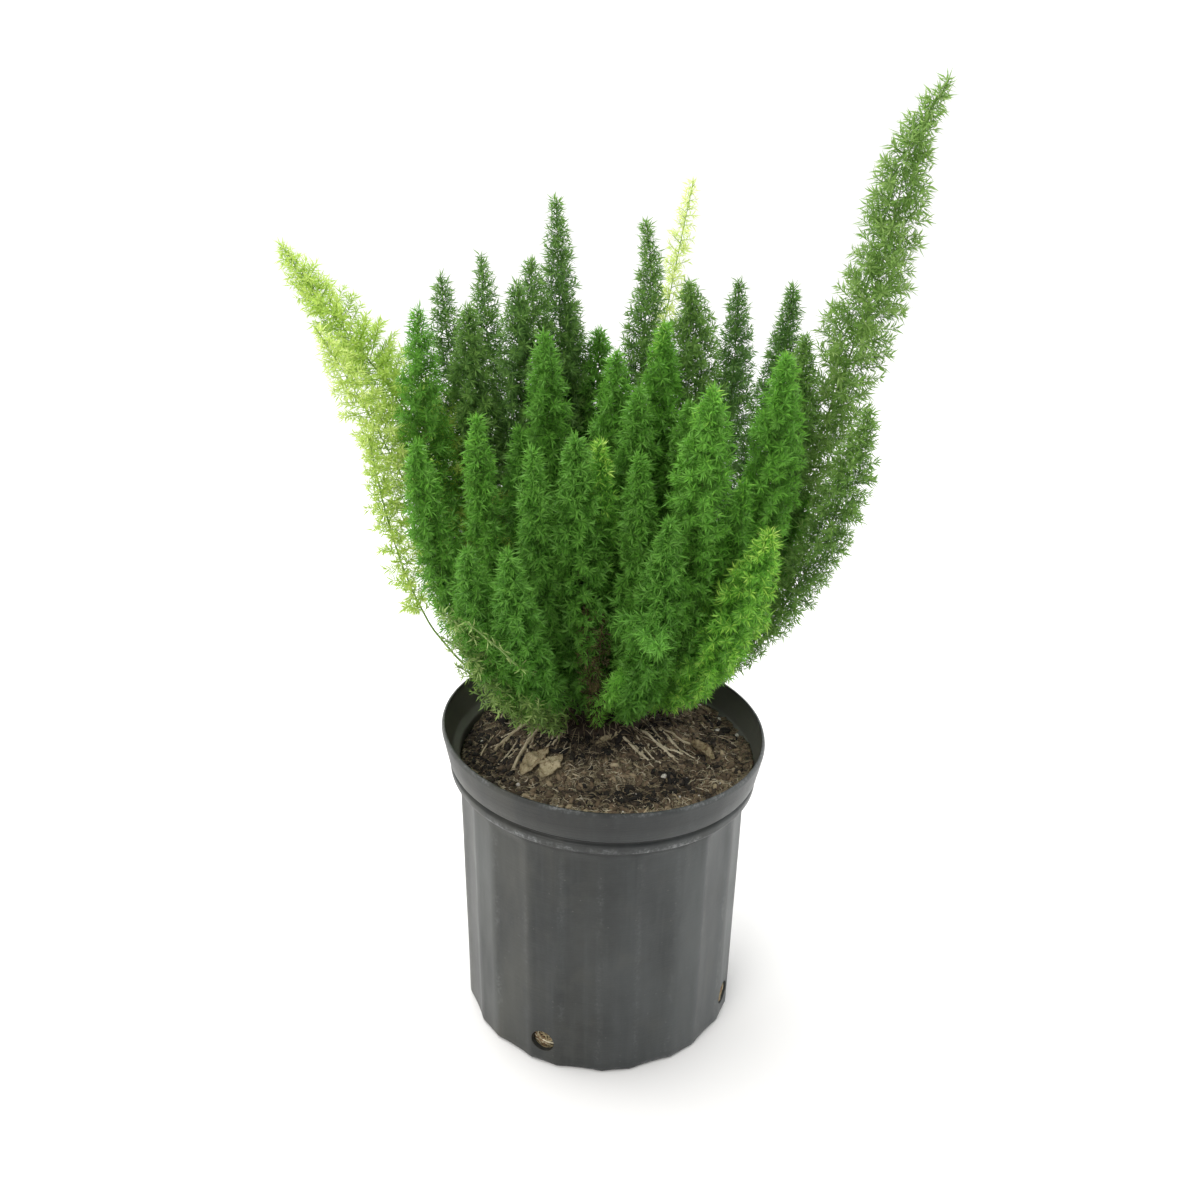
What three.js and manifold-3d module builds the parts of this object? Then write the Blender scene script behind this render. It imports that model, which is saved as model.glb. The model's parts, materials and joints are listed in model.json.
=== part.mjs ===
import * as THREE from "three";
import { mergeVertices } from "three/addons/utils/BufferGeometryUtils.js";
import Module from "manifold-3d";

// A foxtail fern (an asparagus with bottle-brush fronds) growing in a blow-moulded nursery can.
// Millimetres, +Z up, +Y to the back. The origin is the centre of the can's flat underside.

const CLEARANCE = 0.3; // air left between pieces that touch

// The can
const RIM_RADIUS = 130;
const CAN_HEIGHT = 263;
const WALL = 1.8;
const FLOOR = 2.5;
const BASE_RADIUS = 111.5;
const BASE_CORNER = 5.5;
const BODY_TOP_RADIUS = 116;
const BODY_TOP = 220;
const RIDGE_RADIUS = 120.5;
const GROOVE_RADIUS = 118;
const BAND_FOOT_RADIUS = 124;
const BAND_FOOT = 238;
const PANELS = 24;
const PANEL_STEP = 1.5;
const PANEL_COLUMNS = 4;
const PANEL_SLOPE_DEG = 3;
const PANEL_FADE = 8;
const LIP = 2.6;
const RIM_SAG = 0.05; // the soft rim drops towards +X by this share of the distance
const SAG_START = 120;
const DRAIN_HOLES = 4;
const DRAIN_RADIUS = 10;
const DRAIN_HEIGHT = 24;
const FIRST_DRAIN_DEG = 247;

// Soil and rootstock
const SOIL_EDGE = 234;
const SOIL_TOP = 249; // where the mound meets the rootstock
const MOUND_RADIUS = 105; // the mound's slope ends this far from the rootstock's centre
const SOIL_EDGE_RADIUS = 112;
const ROOTSTOCK = new THREE.Vector2(-8, 45);
const ROOTSTOCK_RADIUS = 48;
const ROOTSTOCK_TOP = 266;
const ROOTSTOCK_FOOT = 232;
const SHOULDER_RADIUS = 45;
const SHOULDER = 254;
const WAIST = 245;

// Fronds
const STEM_RADIUS = 1.9;
const LEAST_STEM = 1;
const FOOT_TAPER = 6; // a shoot comes to its full thickness this far from the rootstock
const FROND_SIDES = 7;
const PLUME_RINGS = 8;
const RIM_ROOM = 4; // clear of the can's lip
const SOIL_ROOM = 3; // clear of the soil
const SHOOT_SPACING = 7.5; // least distance between two shoots on the rootstock
const FOOT_RING = 41; // the furthest shoots stand this far from the rootstock's centre
const FULL_LEAN = 0.7; // reach over rise of the shoots on that ring
const PLUME_RISE = 0.15; // share of a frond over which its plume widens above the bare stem
const PLUME_TAPER = 95; // length over which a plume narrows to its tip

// Each row: name, tip x, y and z, bow, nod, plume radius and the share of bare stem below it.
// A negative bow leaves the rootstock low and then turns up, a positive one rises and then leans.
// A nod is the distance that the last third leans further out.
const FRONDS = [
  ["frond_right_tall", 228, 40, 748, -0.6, 70, 27, 0.3],
  ["frond_right_tall_companion", 165, 20, 610, -0.45, 0, 18, 0.25],
  ["frond_right_arching", 185, -10, 532, -0.42, 0, 20, 0.1],
  ["frond_right_edge_back", 139, 20, 576, -0.5, 0, 13, 0.2],
  ["frond_right_bright", 118, -40, 577, -0.45, 0, 19, 0.2],
  ["frond_right_spire", 133, 60, 603, -0.35, 0, 13, 0.25],
  ["frond_right_front_low", 110, -90, 468, -0.25, 0, 20, 0.1],
  ["frond_right_front_inner", 93, -60, 492, -0.35, 0, 15, 0.15],
  ["frond_lime_left_back", -250, 80, 625, 0.22, -75, 22, 0.35],
  ["frond_lime_left", -217, 30, 574, -0.5, 80, 18, 0.3],
  ["frond_lime_left_sparse", -178, 10, 500, -0.7, 20, 10, 0.4],
  ["frond_left_edge", -140, 30, 588, -0.55, 0, 13, 0.2],
  ["frond_left_front_edge", -135, -40, 510, -0.4, 0, 16, 0.1],
  ["frond_left_front_low", -95, -100, 455, -0.35, 0, 18, 0.1],
  ["frond_left_inner", -106, 50, 586, -0.45, 0, 13, 0.25],
  ["frond_left_front_inner", -91, -50, 533, -0.45, 0, 14, 0.2],
  ["frond_left_back_edge", -131, 90, 602, -0.3, 0, 11, 0.25],
  ["frond_left_back_spire", -101, 100, 616, -0.3, 0, 13, 0.25],
  ["frond_left_back_inner", -61, 80, 615, -0.4, 0, 12, 0.3],
  ["frond_left_over_rim", -108, 40, 292, -0.15, 0, 9, 0.3],
  ["frond_mid_left_back", -70, 60, 602, -0.5, 0, 12, 0.3],
  ["frond_mid_left", -47, 0, 579, -0.3, 0, 14, 0.25],
  ["frond_mid_left_front", -64, -20, 516, -0.35, 0, 14, 0.2],
  ["frond_mid", 4, 0, 566, -0.2, 0, 14, 0.3],
  ["frond_mid_right", 37, 10, 585, -0.3, 0, 14, 0.3],
  ["frond_mid_right_front", 56, -20, 536, -0.3, 0, 15, 0.2],
  ["frond_mid_front", 20, -30, 549, -0.25, 0, 14, 0.2],
  ["frond_mid_right_back", 54, 50, 607, -0.6, 0, 18, 0.25],
  ["frond_mid_spire", 24, 60, 647, -0.1, 0, 16, 0.25],
  ["frond_back_tall", -43, 110, 656, -0.6, 0, 14, 0.25],
  ["frond_back_left", -35, 130, 601, -0.2, 0, 14, 0.25],
  ["frond_back_mid", -10, 120, 554, -0.25, 0, 14, 0.25],
  ["frond_back_pale", 57, 150, 667, -0.25, 25, 11, 0.35],
  ["frond_back_right", 98, 110, 597, -0.55, 0, 12, 0.25],
  ["frond_front_bright", 63, -80, 559, -0.42, 0, 16, 0.15],
  ["frond_front_right", 20, -70, 514, -0.45, 0, 14, 0.15],
  ["frond_front_yellow_tip", -6, -60, 519, -0.3, 0, 14, 0.15],
  ["frond_front_left", -22, -75, 528, -0.35, 0, 16, 0.15],
  ["frond_front_far_left", -51, -80, 520, -0.35, 0, 13, 0.15],
  ["frond_front_low_left", -66, -120, 462, -0.3, 0, 14, 0.1],
  ["frond_front_low_right", 41, -100, 479, -0.35, 0, 14, 0.1],
  ["frond_front_nodding", 50, -112, 376, 0.8, 0, 15, 0.15],
  ["frond_front_lowest", 10, -50, 325, -0.1, 0, 20, 0.15],
  ["frond_rear_left_edge", -150, 150, 500, -0.35, 0, 15, 0.15],
  ["frond_rear_left", -95, 175, 480, -0.35, 0, 15, 0.15],
  ["frond_rear_mid_left", -30, 185, 520, -0.35, 0, 15, 0.15],
  ["frond_rear_mid_right", 40, 190, 470, -0.35, 0, 15, 0.15],
  ["frond_rear_right", 100, 165, 510, -0.35, 0, 15, 0.15],
  ["frond_rear_right_edge", 160, 120, 480, -0.35, 0, 15, 0.15],
];

// Litter on the soil. Canes: x and y of the upper and of the lower end, then the radius.
const DEAD_CANES = [
  [-61, 24, -88, -6, 1.9],
  [-51, 15, -71, -33, 2.1],
  [-33, 4, -41.5, -9.5, 1.7],
  [16, -1, 36, -24, 1.8],
  [30, 11, 57, -16, 2.0],
];
// Dry leaves: x, y, direction in degrees, length, width and the lift of the curled edges.
const DRY_LEAVES = [
  [-54.5, -27, 53, 34, 15, 3],
  [-41, -34, 55, 28, 13, 2],
  [81, -1, 317, 25, 12, 4],
];
const LEAF_THICKNESS = 0.8;

const COLOURS = {
  can: 0x2b2d2e,
  soil: 0x3a2c22,
  rootstock: 0x4a3a28,
  cane: 0x9c9078,
  leaf: 0xa08a63,
  green: 0x3f7d2c,
  lime: 0x9ccc4a,
};

const wasm = await Module();
wasm.setup();

const radians = THREE.MathUtils.degToRad;
const smooth = THREE.MathUtils.smoothstep;
const lerp = THREE.MathUtils.lerp;
const clamp = THREE.MathUtils.clamp;
const wrap = THREE.MathUtils.euclideanModulo;

// Keeps only positions, joins equal corners and drops triangles that have collapsed to a line.
function closed(geometry) {
  geometry.deleteAttribute("normal");
  geometry.deleteAttribute("uv");
  const merged = mergeVertices(geometry, 1e-4);
  const corners = merged.index.array;
  const kept = [];
  for (let i = 0; i < corners.length; i += 3) {
    const [a, b, c] = [corners[i], corners[i + 1], corners[i + 2]];
    if (a !== b && b !== c && c !== a) kept.push(a, b, c);
  }
  merged.setIndex(kept);
  return merged;
}

function toManifold(geometry) {
  const solid = closed(geometry);
  return new wasm.Manifold(new wasm.Mesh({
    numProp: 3,
    vertProperties: Float32Array.from(solid.attributes.position.array),
    triVerts: Uint32Array.from(solid.index.array),
  }));
}

function fromManifold(manifold) {
  const mesh = manifold.getMesh();
  const geometry = new THREE.BufferGeometry();
  geometry.setAttribute("position", new THREE.BufferAttribute(mesh.vertProperties, 3));
  geometry.setIndex(new THREE.BufferAttribute(mesh.triVerts, 1));
  return geometry;
}

function named(name, geometry, color, roughness) {
  const material = new THREE.MeshStandardMaterial({ color, roughness, metalness: 0 });
  const mesh = new THREE.Mesh(geometry, material);
  mesh.name = name;
  return mesh;
}

// A solid turned about +Z from [radius, height] pairs that start and end on the axis.
function turned(pairs, segments) {
  const outline = pairs.map(([radius, height]) => new THREE.Vector2(radius, height));
  return new THREE.LatheGeometry(outline, segments).rotateX(Math.PI / 2);
}

// Moves every corner of a geometry to where a function puts it.
function reshaped(geometry, move) {
  const places = geometry.attributes.position;
  const point = new THREE.Vector3();
  for (let i = 0; i < places.count; i++) {
    move(point.fromBufferAttribute(places, i));
    places.setXYZ(i, point.x, point.y, point.z);
  }
  return geometry;
}

// ---- The can ----

function bodyRadius(z) {
  return lerp(BASE_RADIUS, BODY_TOP_RADIUS, z / BODY_TOP);
}

function canOutline() {
  const panelTop = BODY_TOP - PANEL_FADE;
  return [
    [0, 0],
    [BASE_RADIUS - BASE_CORNER, 0],
    [BASE_RADIUS - 0.3 * BASE_CORNER, 0.3 * BASE_CORNER],
    [BASE_RADIUS, BASE_CORNER],
    [bodyRadius(panelTop), panelTop],
    [BODY_TOP_RADIUS, BODY_TOP],
    [RIDGE_RADIUS, BODY_TOP + 4],
    [RIDGE_RADIUS, BODY_TOP + 9],
    [GROOVE_RADIUS, BODY_TOP + 11],
    [GROOVE_RADIUS, BAND_FOOT - 2],
    [BAND_FOOT_RADIUS, BAND_FOOT],
    [RIM_RADIUS, CAN_HEIGHT - 3],
    [RIM_RADIUS - 0.4 * LIP, CAN_HEIGHT],
    [RIM_RADIUS - LIP, CAN_HEIGHT],
    [RIM_RADIUS - LIP, CAN_HEIGHT - 4],
    [BAND_FOOT_RADIUS - WALL, BAND_FOOT + 1],
    [GROOVE_RADIUS - WALL, BAND_FOOT - 2],
    [GROOVE_RADIUS - WALL, BODY_TOP + 5],
    [BODY_TOP_RADIUS - WALL, BODY_TOP],
    [bodyRadius(panelTop) - WALL, panelTop],
    [BASE_RADIUS - WALL, BASE_CORNER + 1],
    [BASE_RADIUS - BASE_CORNER, FLOOR],
    [0, FLOOR],
  ];
}

// How far a pressed panel lies inside the full radius at a height.
function pressedDepth(z) {
  const foot = smooth(z, 0, BASE_CORNER);
  const head = 1 - smooth(z, BODY_TOP - PANEL_FADE, BODY_TOP);
  return PANEL_STEP * foot * head;
}

// The lathe's columns are gathered into flat panels with a narrow slope from each to the next,
// and every other panel is pressed in.
function panelled(blank) {
  const columns = PANELS * PANEL_COLUMNS;
  const panelAngle = (2 * Math.PI) / PANELS;
  const slope = radians(PANEL_SLOPE_DEG);
  return reshaped(blank, (point) => {
    const radius = Math.hypot(point.x, point.y);
    const turn = wrap(Math.atan2(point.y, point.x), 2 * Math.PI) / (2 * Math.PI);
    const column = Math.round(turn * columns) % columns;
    const panel = Math.floor(column / PANEL_COLUMNS);
    const across = (column % PANEL_COLUMNS) / (PANEL_COLUMNS - 1);
    const angle = panel * panelAngle + slope / 2 + across * (panelAngle - slope);
    const pressed = panel % 2 === 0 || radius < 1 ? 0 : pressedDepth(point.z);
    point.x = (radius - pressed) * Math.cos(angle);
    point.y = (radius - pressed) * Math.sin(angle);
  });
}

function sagged(geometry) {
  return reshaped(geometry, (point) => {
    point.z -= RIM_SAG * point.x * smooth(point.z, SAG_START, CAN_HEIGHT);
  });
}

function drainHole(number) {
  const angle = radians(FIRST_DRAIN_DEG + (number * 360) / DRAIN_HOLES);
  const drill = new THREE.CylinderGeometry(DRAIN_RADIUS, DRAIN_RADIUS, 30, 16);
  drill.rotateZ(Math.PI / 2).rotateZ(angle);
  drill.translate(BASE_RADIUS * Math.cos(angle), BASE_RADIUS * Math.sin(angle), DRAIN_HEIGHT);
  return toManifold(drill);
}

function makeCan() {
  const blank = panelled(turned(canOutline(), PANELS * PANEL_COLUMNS));
  let can = toManifold(sagged(blank));
  for (let i = 0; i < DRAIN_HOLES; i++) can = can.subtract(drainHole(i));
  return named("pot", fromManifold(can), COLOURS.can, 0.5);
}

// ---- Soil and rootstock ----

function fromRootstock(x, y) {
  return Math.hypot(x - ROOTSTOCK.x, y - ROOTSTOCK.y);
}

function soilHeight(x, y) {
  const down = (fromRootstock(x, y) - ROOTSTOCK_RADIUS) / (MOUND_RADIUS - ROOTSTOCK_RADIUS);
  return lerp(SOIL_TOP, SOIL_EDGE, clamp(down, 0, 1));
}

function rootstockOutline(grow) {
  return [
    [0, ROOTSTOCK_FOOT - grow],
    [0.75 * ROOTSTOCK_RADIUS, ROOTSTOCK_FOOT + 2 - grow],
    [ROOTSTOCK_RADIUS + grow, WAIST],
    [SHOULDER_RADIUS + grow, SHOULDER],
    [0.6 * SHOULDER_RADIUS, SHOULDER + 8 + grow],
    [0, ROOTSTOCK_TOP + grow],
  ];
}

function turnedRootstock(grow) {
  return turned(rootstockOutline(grow), 24).translate(ROOTSTOCK.x, ROOTSTOCK.y, 0);
}

function makeSoil() {
  const floor = FLOOR + CLEARANCE;
  const lowRadius = BASE_RADIUS - WALL - PANEL_STEP - CLEARANCE;
  const outline = [
    [0, floor],
    [lowRadius - BASE_CORNER, floor],
    [lowRadius - 0.5, BASE_CORNER + 3],
    [SOIL_EDGE_RADIUS, BODY_TOP],
    [SOIL_EDGE_RADIUS, SOIL_EDGE],
  ];
  for (let ring = 8; ring >= 0; ring--) outline.push([(ring / 9) * SOIL_EDGE_RADIUS, SOIL_EDGE]);
  const heaped = reshaped(turned(outline, 40), (point) => {
    if (point.z > BODY_TOP + 1) point.z = soilHeight(point.x, point.y);
  });
  const soil = toManifold(heaped).subtract(toManifold(turnedRootstock(CLEARANCE)));
  return named("soil", fromManifold(soil), COLOURS.soil, 0.95);
}

function makeRootstock() {
  return named("rootstock", closed(turnedRootstock(0)), COLOURS.rootstock, 0.9);
}

// ---- Fronds ----

// Where a shoot leaves the rootstock: on the side it leans to, further out the more it leans.
function shootFoot([, tipX, tipY, tipZ]) {
  const lean = fromRootstock(tipX, tipY) / (tipZ - ROOTSTOCK_TOP);
  const out = FOOT_RING * Math.sqrt(Math.min(1, lean / FULL_LEAN));
  return new THREE.Vector2(tipX, tipY).sub(ROOTSTOCK).setLength(out);
}

// Shoots that would crowd each other move apart until each has its own place on the rootstock.
function spreadFeet(feet) {
  for (let pass = 0; pass < 80; pass++) {
    for (const one of feet) {
      for (const other of feet) {
        const between = new THREE.Vector2().subVectors(one, other);
        const lack = SHOOT_SPACING - between.length();
        if (one === other || lack <= 0) continue;
        between.setLength(lack / 2);
        one.add(between);
        other.sub(between);
      }
      one.clampLength(0, FOOT_RING);
    }
  }
}

function rootstockSurface(distance) {
  const shoulder = 0.6 * SHOULDER_RADIUS;
  if (distance > shoulder) {
    return lerp(SHOULDER + 8, SHOULDER, (distance - shoulder) / (SHOULDER_RADIUS - shoulder));
  }
  return lerp(ROOTSTOCK_TOP, SHOULDER + 8, distance / shoulder);
}

// A frond's centre line, in the upright plane through its foot and its tip.
class FrondCurve extends THREE.Curve {
  constructor(foot, [, tipX, tipY, tipZ, bow, nod]) {
    super();
    this.height = rootstockSurface(foot.length()) + CLEARANCE;
    this.foot = foot.clone().add(ROOTSTOCK);
    this.out = new THREE.Vector2(tipX, tipY).sub(this.foot);
    this.reach = this.out.length();
    this.out.normalize();
    this.rise = tipZ - this.height;
    this.nod = nod;
    this.kneeOut = clamp(0.5 - bow, 0.1, 1.2) * (this.reach - nod);
    this.kneeUp = Math.max(0.5 + bow, 0.12) * this.rise;
  }

  getPoint(t, target = new THREE.Vector3()) {
    const turning = 2 * t * (1 - t);
    const out = turning * this.kneeOut + t * t * (this.reach - this.nod) + t ** 4 * this.nod;
    const up = turning * this.kneeUp + t * t * this.rise;
    const { x, y } = this.foot;
    return target.set(x + out * this.out.x, y + out * this.out.y, this.height + up);
  }
}

function frondStations(bare, length) {
  const stations = [0, FOOT_TAPER / length, 0.6 * bare, bare];
  for (let i = 1; i <= PLUME_RINGS; i++) stations.push(lerp(bare, 1, i / PLUME_RINGS));
  return stations;
}

function plumeRadius([, , , , , , plume, bare], station, length) {
  const filled = smooth(station, bare, bare + PLUME_RISE);
  const tapered = Math.min(1, (((1 - station) * length) / PLUME_TAPER) ** 0.8);
  return lerp(STEM_RADIUS, plume, filled * tapered);
}

// Half the distance to the nearest other centre line, so that no two plumes can meet.
function roomAt(point, line, lines) {
  const segment = new THREE.Line3();
  const nearest = new THREE.Vector3();
  let room = Infinity;
  for (const other of lines) {
    if (other === line) continue;
    for (let i = 1; i < other.length; i++) {
      segment.set(other[i - 1], other[i]).closestPointToPoint(point, true, nearest);
      room = Math.min(room, nearest.distanceTo(point) / 2 - CLEARANCE);
    }
  }
  const overRim = Math.hypot(Math.hypot(point.x, point.y) - RIM_RADIUS, point.z - CAN_HEIGHT);
  const overSoil = point.z - soilHeight(point.x, point.y);
  return Math.min(room, overRim - RIM_ROOM, overSoil - SOIL_ROOM);
}

// The least room on the stretches before and after a station.
function roomAround(line, station, lines) {
  const point = new THREE.Vector3();
  let room = Infinity;
  for (const next of [station - 1, station + 1]) {
    if (!line[next]) continue;
    for (let step = 0; step <= 6; step++) {
      point.lerpVectors(line[station], line[next], step / 6);
      room = Math.min(room, roomAt(point, line, lines));
    }
  }
  return room;
}

// A closed plume along the frond's centre line, pointed at both ends.
function makeFrond(row, curve, line, lines) {
  const length = curve.getLength();
  const stations = frondStations(row.at(-1), length);
  const pairs = stations.map((station, i) => {
    if (i === 0 || i === stations.length - 1) return [0, i];
    const room = Math.max(LEAST_STEM, roomAround(line, i, lines));
    return [Math.min(plumeRadius(row, station, length), room), i];
  });
  const side = new THREE.Vector3().subVectors(line.at(-1), line[0]).setZ(0).normalize();
  side.set(-side.y, side.x, 0);
  const across = new THREE.Vector3();
  const bent = reshaped(turned(pairs, FROND_SIDES), (point) => {
    const ring = Math.round(point.z);
    across.crossVectors(curve.getTangentAt(stations[ring]), side);
    const { x, y } = point;
    point.copy(line[ring]).addScaledVector(side, x).addScaledVector(across, y);
  });
  const lime = row[0].includes("lime") || row[0].includes("pale");
  return named(row[0], closed(bent), lime ? COLOURS.lime : COLOURS.green, 0.6);
}

function makeFronds(canes) {
  const feet = FRONDS.map(shootFoot);
  spreadFeet(feet);
  const curves = FRONDS.map((row, i) => new FrondCurve(feet[i], row));
  const lines = FRONDS.map((row, i) => (
    frondStations(row.at(-1), curves[i].getLength()).map((at) => curves[i].getPointAt(at))
  ));
  const blocked = [...lines, ...canes];
  return FRONDS.map((row, i) => makeFrond(row, curves[i], lines[i], blocked));
}

// ---- Litter on the soil ----

// A dead cane's two ends. It lies on the slope of the mound.
function caneEnds([upperX, upperY, lowerX, lowerY, radius]) {
  const lift = radius + 2 * CLEARANCE;
  const upper = new THREE.Vector3(upperX, upperY, soilHeight(upperX, upperY) + lift);
  const lower = new THREE.Vector3(lowerX, lowerY, soilHeight(lowerX, lowerY) + lift);
  return [upper, lower];
}

function makeCane(row, number) {
  const [upper, lower] = caneEnds(row);
  const along = new THREE.Vector3().subVectors(lower, upper);
  const cane = new THREE.CylinderGeometry(0.8 * row.at(-1), row.at(-1), along.length(), 7);
  const upright = new THREE.Vector3(0, 1, 0);
  cane.applyQuaternion(new THREE.Quaternion().setFromUnitVectors(upright, along.normalize()));
  cane.translate(...upper.lerp(lower, 0.5).toArray());
  return named(`dead_cane_${number + 1}`, closed(cane), COLOURS.cane, 0.9);
}

// A dry leaf lying on the soil, its long edges curled up.
function makeLeaf([x, y, degrees, length, width, curl], number) {
  const outline = new THREE.Shape();
  outline.moveTo(-length / 2, 0);
  outline.quadraticCurveTo(0, -width, length / 2, 0);
  outline.quadraticCurveTo(0, width, -length / 2, 0);
  const blade = new THREE.ExtrudeGeometry(outline, {
    depth: LEAF_THICKNESS,
    bevelEnabled: false,
    curveSegments: 6,
  });
  reshaped(blade, (point) => {
    point.z += curl * ((2 * point.y) / width) ** 2;
  });
  blade.rotateZ(radians(degrees)).translate(x, y, 0);
  reshaped(blade, (point) => {
    point.z += soilHeight(point.x, point.y) + 2 * CLEARANCE;
  });
  return named(`dry_leaf_${number + 1}`, closed(blade), COLOURS.leaf, 0.9);
}

const plant = new THREE.Group();
plant.add(makeCan(), makeSoil(), makeRootstock());
plant.add(...DEAD_CANES.map(makeCane), ...DRY_LEAVES.map(makeLeaf));
plant.add(...makeFronds(DEAD_CANES.map(caneEnds)));

export default plant;
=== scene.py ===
# Foxtail fern in a nursery can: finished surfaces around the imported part. Metres, +Z up, +Y to the back.
import json
import math
import random

import bmesh
import bpy
import numpy as np
from mathutils import Matrix, Vector, noise

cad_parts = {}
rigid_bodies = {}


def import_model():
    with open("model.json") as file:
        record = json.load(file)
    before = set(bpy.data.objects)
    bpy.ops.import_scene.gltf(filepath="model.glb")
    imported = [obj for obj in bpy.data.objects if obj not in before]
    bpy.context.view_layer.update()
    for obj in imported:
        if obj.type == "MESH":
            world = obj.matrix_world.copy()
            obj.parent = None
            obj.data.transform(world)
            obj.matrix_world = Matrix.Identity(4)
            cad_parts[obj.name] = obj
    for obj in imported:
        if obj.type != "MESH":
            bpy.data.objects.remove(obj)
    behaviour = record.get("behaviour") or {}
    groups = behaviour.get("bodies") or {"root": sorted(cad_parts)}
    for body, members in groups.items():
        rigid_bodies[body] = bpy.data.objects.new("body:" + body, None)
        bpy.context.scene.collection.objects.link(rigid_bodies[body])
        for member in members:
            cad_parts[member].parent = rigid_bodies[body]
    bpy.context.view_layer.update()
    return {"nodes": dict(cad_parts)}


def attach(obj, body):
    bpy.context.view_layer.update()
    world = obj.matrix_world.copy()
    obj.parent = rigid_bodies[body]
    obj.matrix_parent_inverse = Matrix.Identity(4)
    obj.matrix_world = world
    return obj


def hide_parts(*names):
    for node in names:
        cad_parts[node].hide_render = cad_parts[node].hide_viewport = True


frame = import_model()
scene = bpy.context.scene

cameraSetup = {
    "place": (0.0, -0.8713, 0.7803),
    "aim": (-0.005, 0.0, 0.371),
    "rollDegrees": 1.0,
    "lens": 37.5,
    "sensor": 36.0,
    "nearest": 0.02,
}

studio = {
    "floorSize": 40.0,
    "floorColour": (0.93, 0.925, 0.915),
    "floorRoughness": 0.8,
    "floorShine": 0.1,
    "skyColour": (1.0, 1.0, 1.0),
    "backdropStrength": 1.12,
    "skyStrength": (0.5, 1.55),  # of the light from the front and from the back of the room
    "skySpan": (-0.75, 0.45),
    "lamps": {  # place, aim, width, height, watts, colour
        "overheadLamp": ((-0.35, 0.35, 1.9), (0.0, 0.0, 0.3), 1.2, 1.2, 20.0, (1.0, 0.99, 0.97)),
        "frontLamp": ((-0.9, -1.7, 1.7), (0.0, 0.0, 0.4), 1.1, 1.1, 22.0, (1.0, 0.985, 0.96)),
    },
}


def lookAt(place, aim, rollDegrees=0.0):
    turn = (Vector(aim) - Vector(place)).to_track_quat("-Z", "Y").to_matrix().to_4x4()
    roll = Matrix.Rotation(math.radians(rollDegrees), 4, "Z")
    return Matrix.Translation(place) @ turn @ roll


def addCamera():
    lens = bpy.data.cameras.new("camera")
    lens.lens = cameraSetup["lens"]
    lens.sensor_width = cameraSetup["sensor"]
    lens.clip_start = cameraSetup["nearest"]
    scene.camera = addObject("camera", lens)
    scene.camera.matrix_world = lookAt(cameraSetup["place"], cameraSetup["aim"], cameraSetup["rollDegrees"])


def addStage():
    half = studio["floorSize"] / 2
    corners = [(-half, -half, 0), (half, -half, 0), (half, half, 0), (-half, half, 0)]
    floor = meshObject("floor", corners, faces=[(0, 1, 2, 3)])
    material, _, shader = plainMaterial("floorPaper", studio["floorRoughness"], studio["floorShine"])
    shader.inputs["Base Color"].default_value = (*studio["floorColour"], 1)
    floor.data.materials.append(material)
    for name, (place, aim, width, height, watts, colour) in studio["lamps"].items():
        light = bpy.data.lights.new(name, "AREA")
        light.shape = "RECTANGLE"
        light.size = width
        light.size_y = height
        light.energy = watts
        light.color = colour
        addObject(name, light).matrix_world = lookAt(place, aim)


def addSky():
    # The room is darker in front of the plant. The backdrop itself shows plain white.
    world = bpy.data.worlds.new("studioSky")
    world.use_nodes = True
    tree = world.node_tree
    sky = tree.nodes["Background"]
    sky.inputs["Color"].default_value = (*studio["skyColour"], 1)
    toward = parted(tree, put(tree, "ShaderNodeTexCoord").outputs["Generated"])["Y"]
    light = spread(tree, toward, *studio["skySpan"], *studio["skyStrength"])
    seen = put(tree, "ShaderNodeLightPath").outputs["Is Camera Ray"]
    shown = times(tree, seen, studio["backdropStrength"])
    strength = timesPlus(tree, calc(tree, "SUBTRACT", 1.0, seen), light, shown)
    tree.links.new(strength, sky.inputs["Strength"])
    scene.world = world
    scene.view_settings.view_transform = "Standard"


def socketOf(node, key):
    return node.inputs[key] if isinstance(key, int) else next(s for s in node.inputs if s.identifier == key)


def wire(tree, socket, value):
    # Links another node's output to a socket, or else sets the socket's own value.
    if isinstance(value, bpy.types.NodeSocket):
        tree.links.new(value, socket)
    else:
        socket.default_value = value


def put(tree, kind, wires=None, **settings):
    # Adds a node. Wires go from an input's identifier or number to what feeds it.
    node = tree.nodes.new(kind)
    for name, value in settings.items():
        setattr(node, name, value)
    for key, value in (wires or {}).items():
        wire(tree, socketOf(node, key), value)
    return node


def calc(tree, operation, *values, clamped=False):
    wires = dict(enumerate(values))
    return put(tree, "ShaderNodeMath", wires, operation=operation, use_clamp=clamped).outputs[0]


def times(tree, first, second):
    return calc(tree, "MULTIPLY", first, second)


def plus(tree, first, second):
    return calc(tree, "ADD", first, second)


def timesPlus(tree, first, second, third):
    return calc(tree, "MULTIPLY_ADD", first, second, third)


def spread(tree, value, fromLow, fromHigh, toLow, toHigh):
    wires = {"Value": value, "From Min": fromLow, "From Max": fromHigh, "To Min": toLow, "To Max": toHigh}
    return put(tree, "ShaderNodeMapRange", wires).outputs["Result"]


def parted(tree, vector):
    return put(tree, "ShaderNodeSeparateXYZ", {0: vector}).outputs


def combined(tree, *parts):
    return put(tree, "ShaderNodeCombineXYZ", dict(enumerate(parts))).outputs[0]


def mixed(tree, factor, first, second, how="MIX"):
    # Mixes two colours, given as sockets or as red, green and blue.
    wires = {"Factor_Float": factor}
    for key, colour in (("A_Color", first), ("B_Color", second)):
        wires[key] = colour if isinstance(colour, bpy.types.NodeSocket) else (*colour, 1)
    return put(tree, "ShaderNodeMix", wires, data_type="RGBA", blend_type=how).outputs[2]


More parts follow.
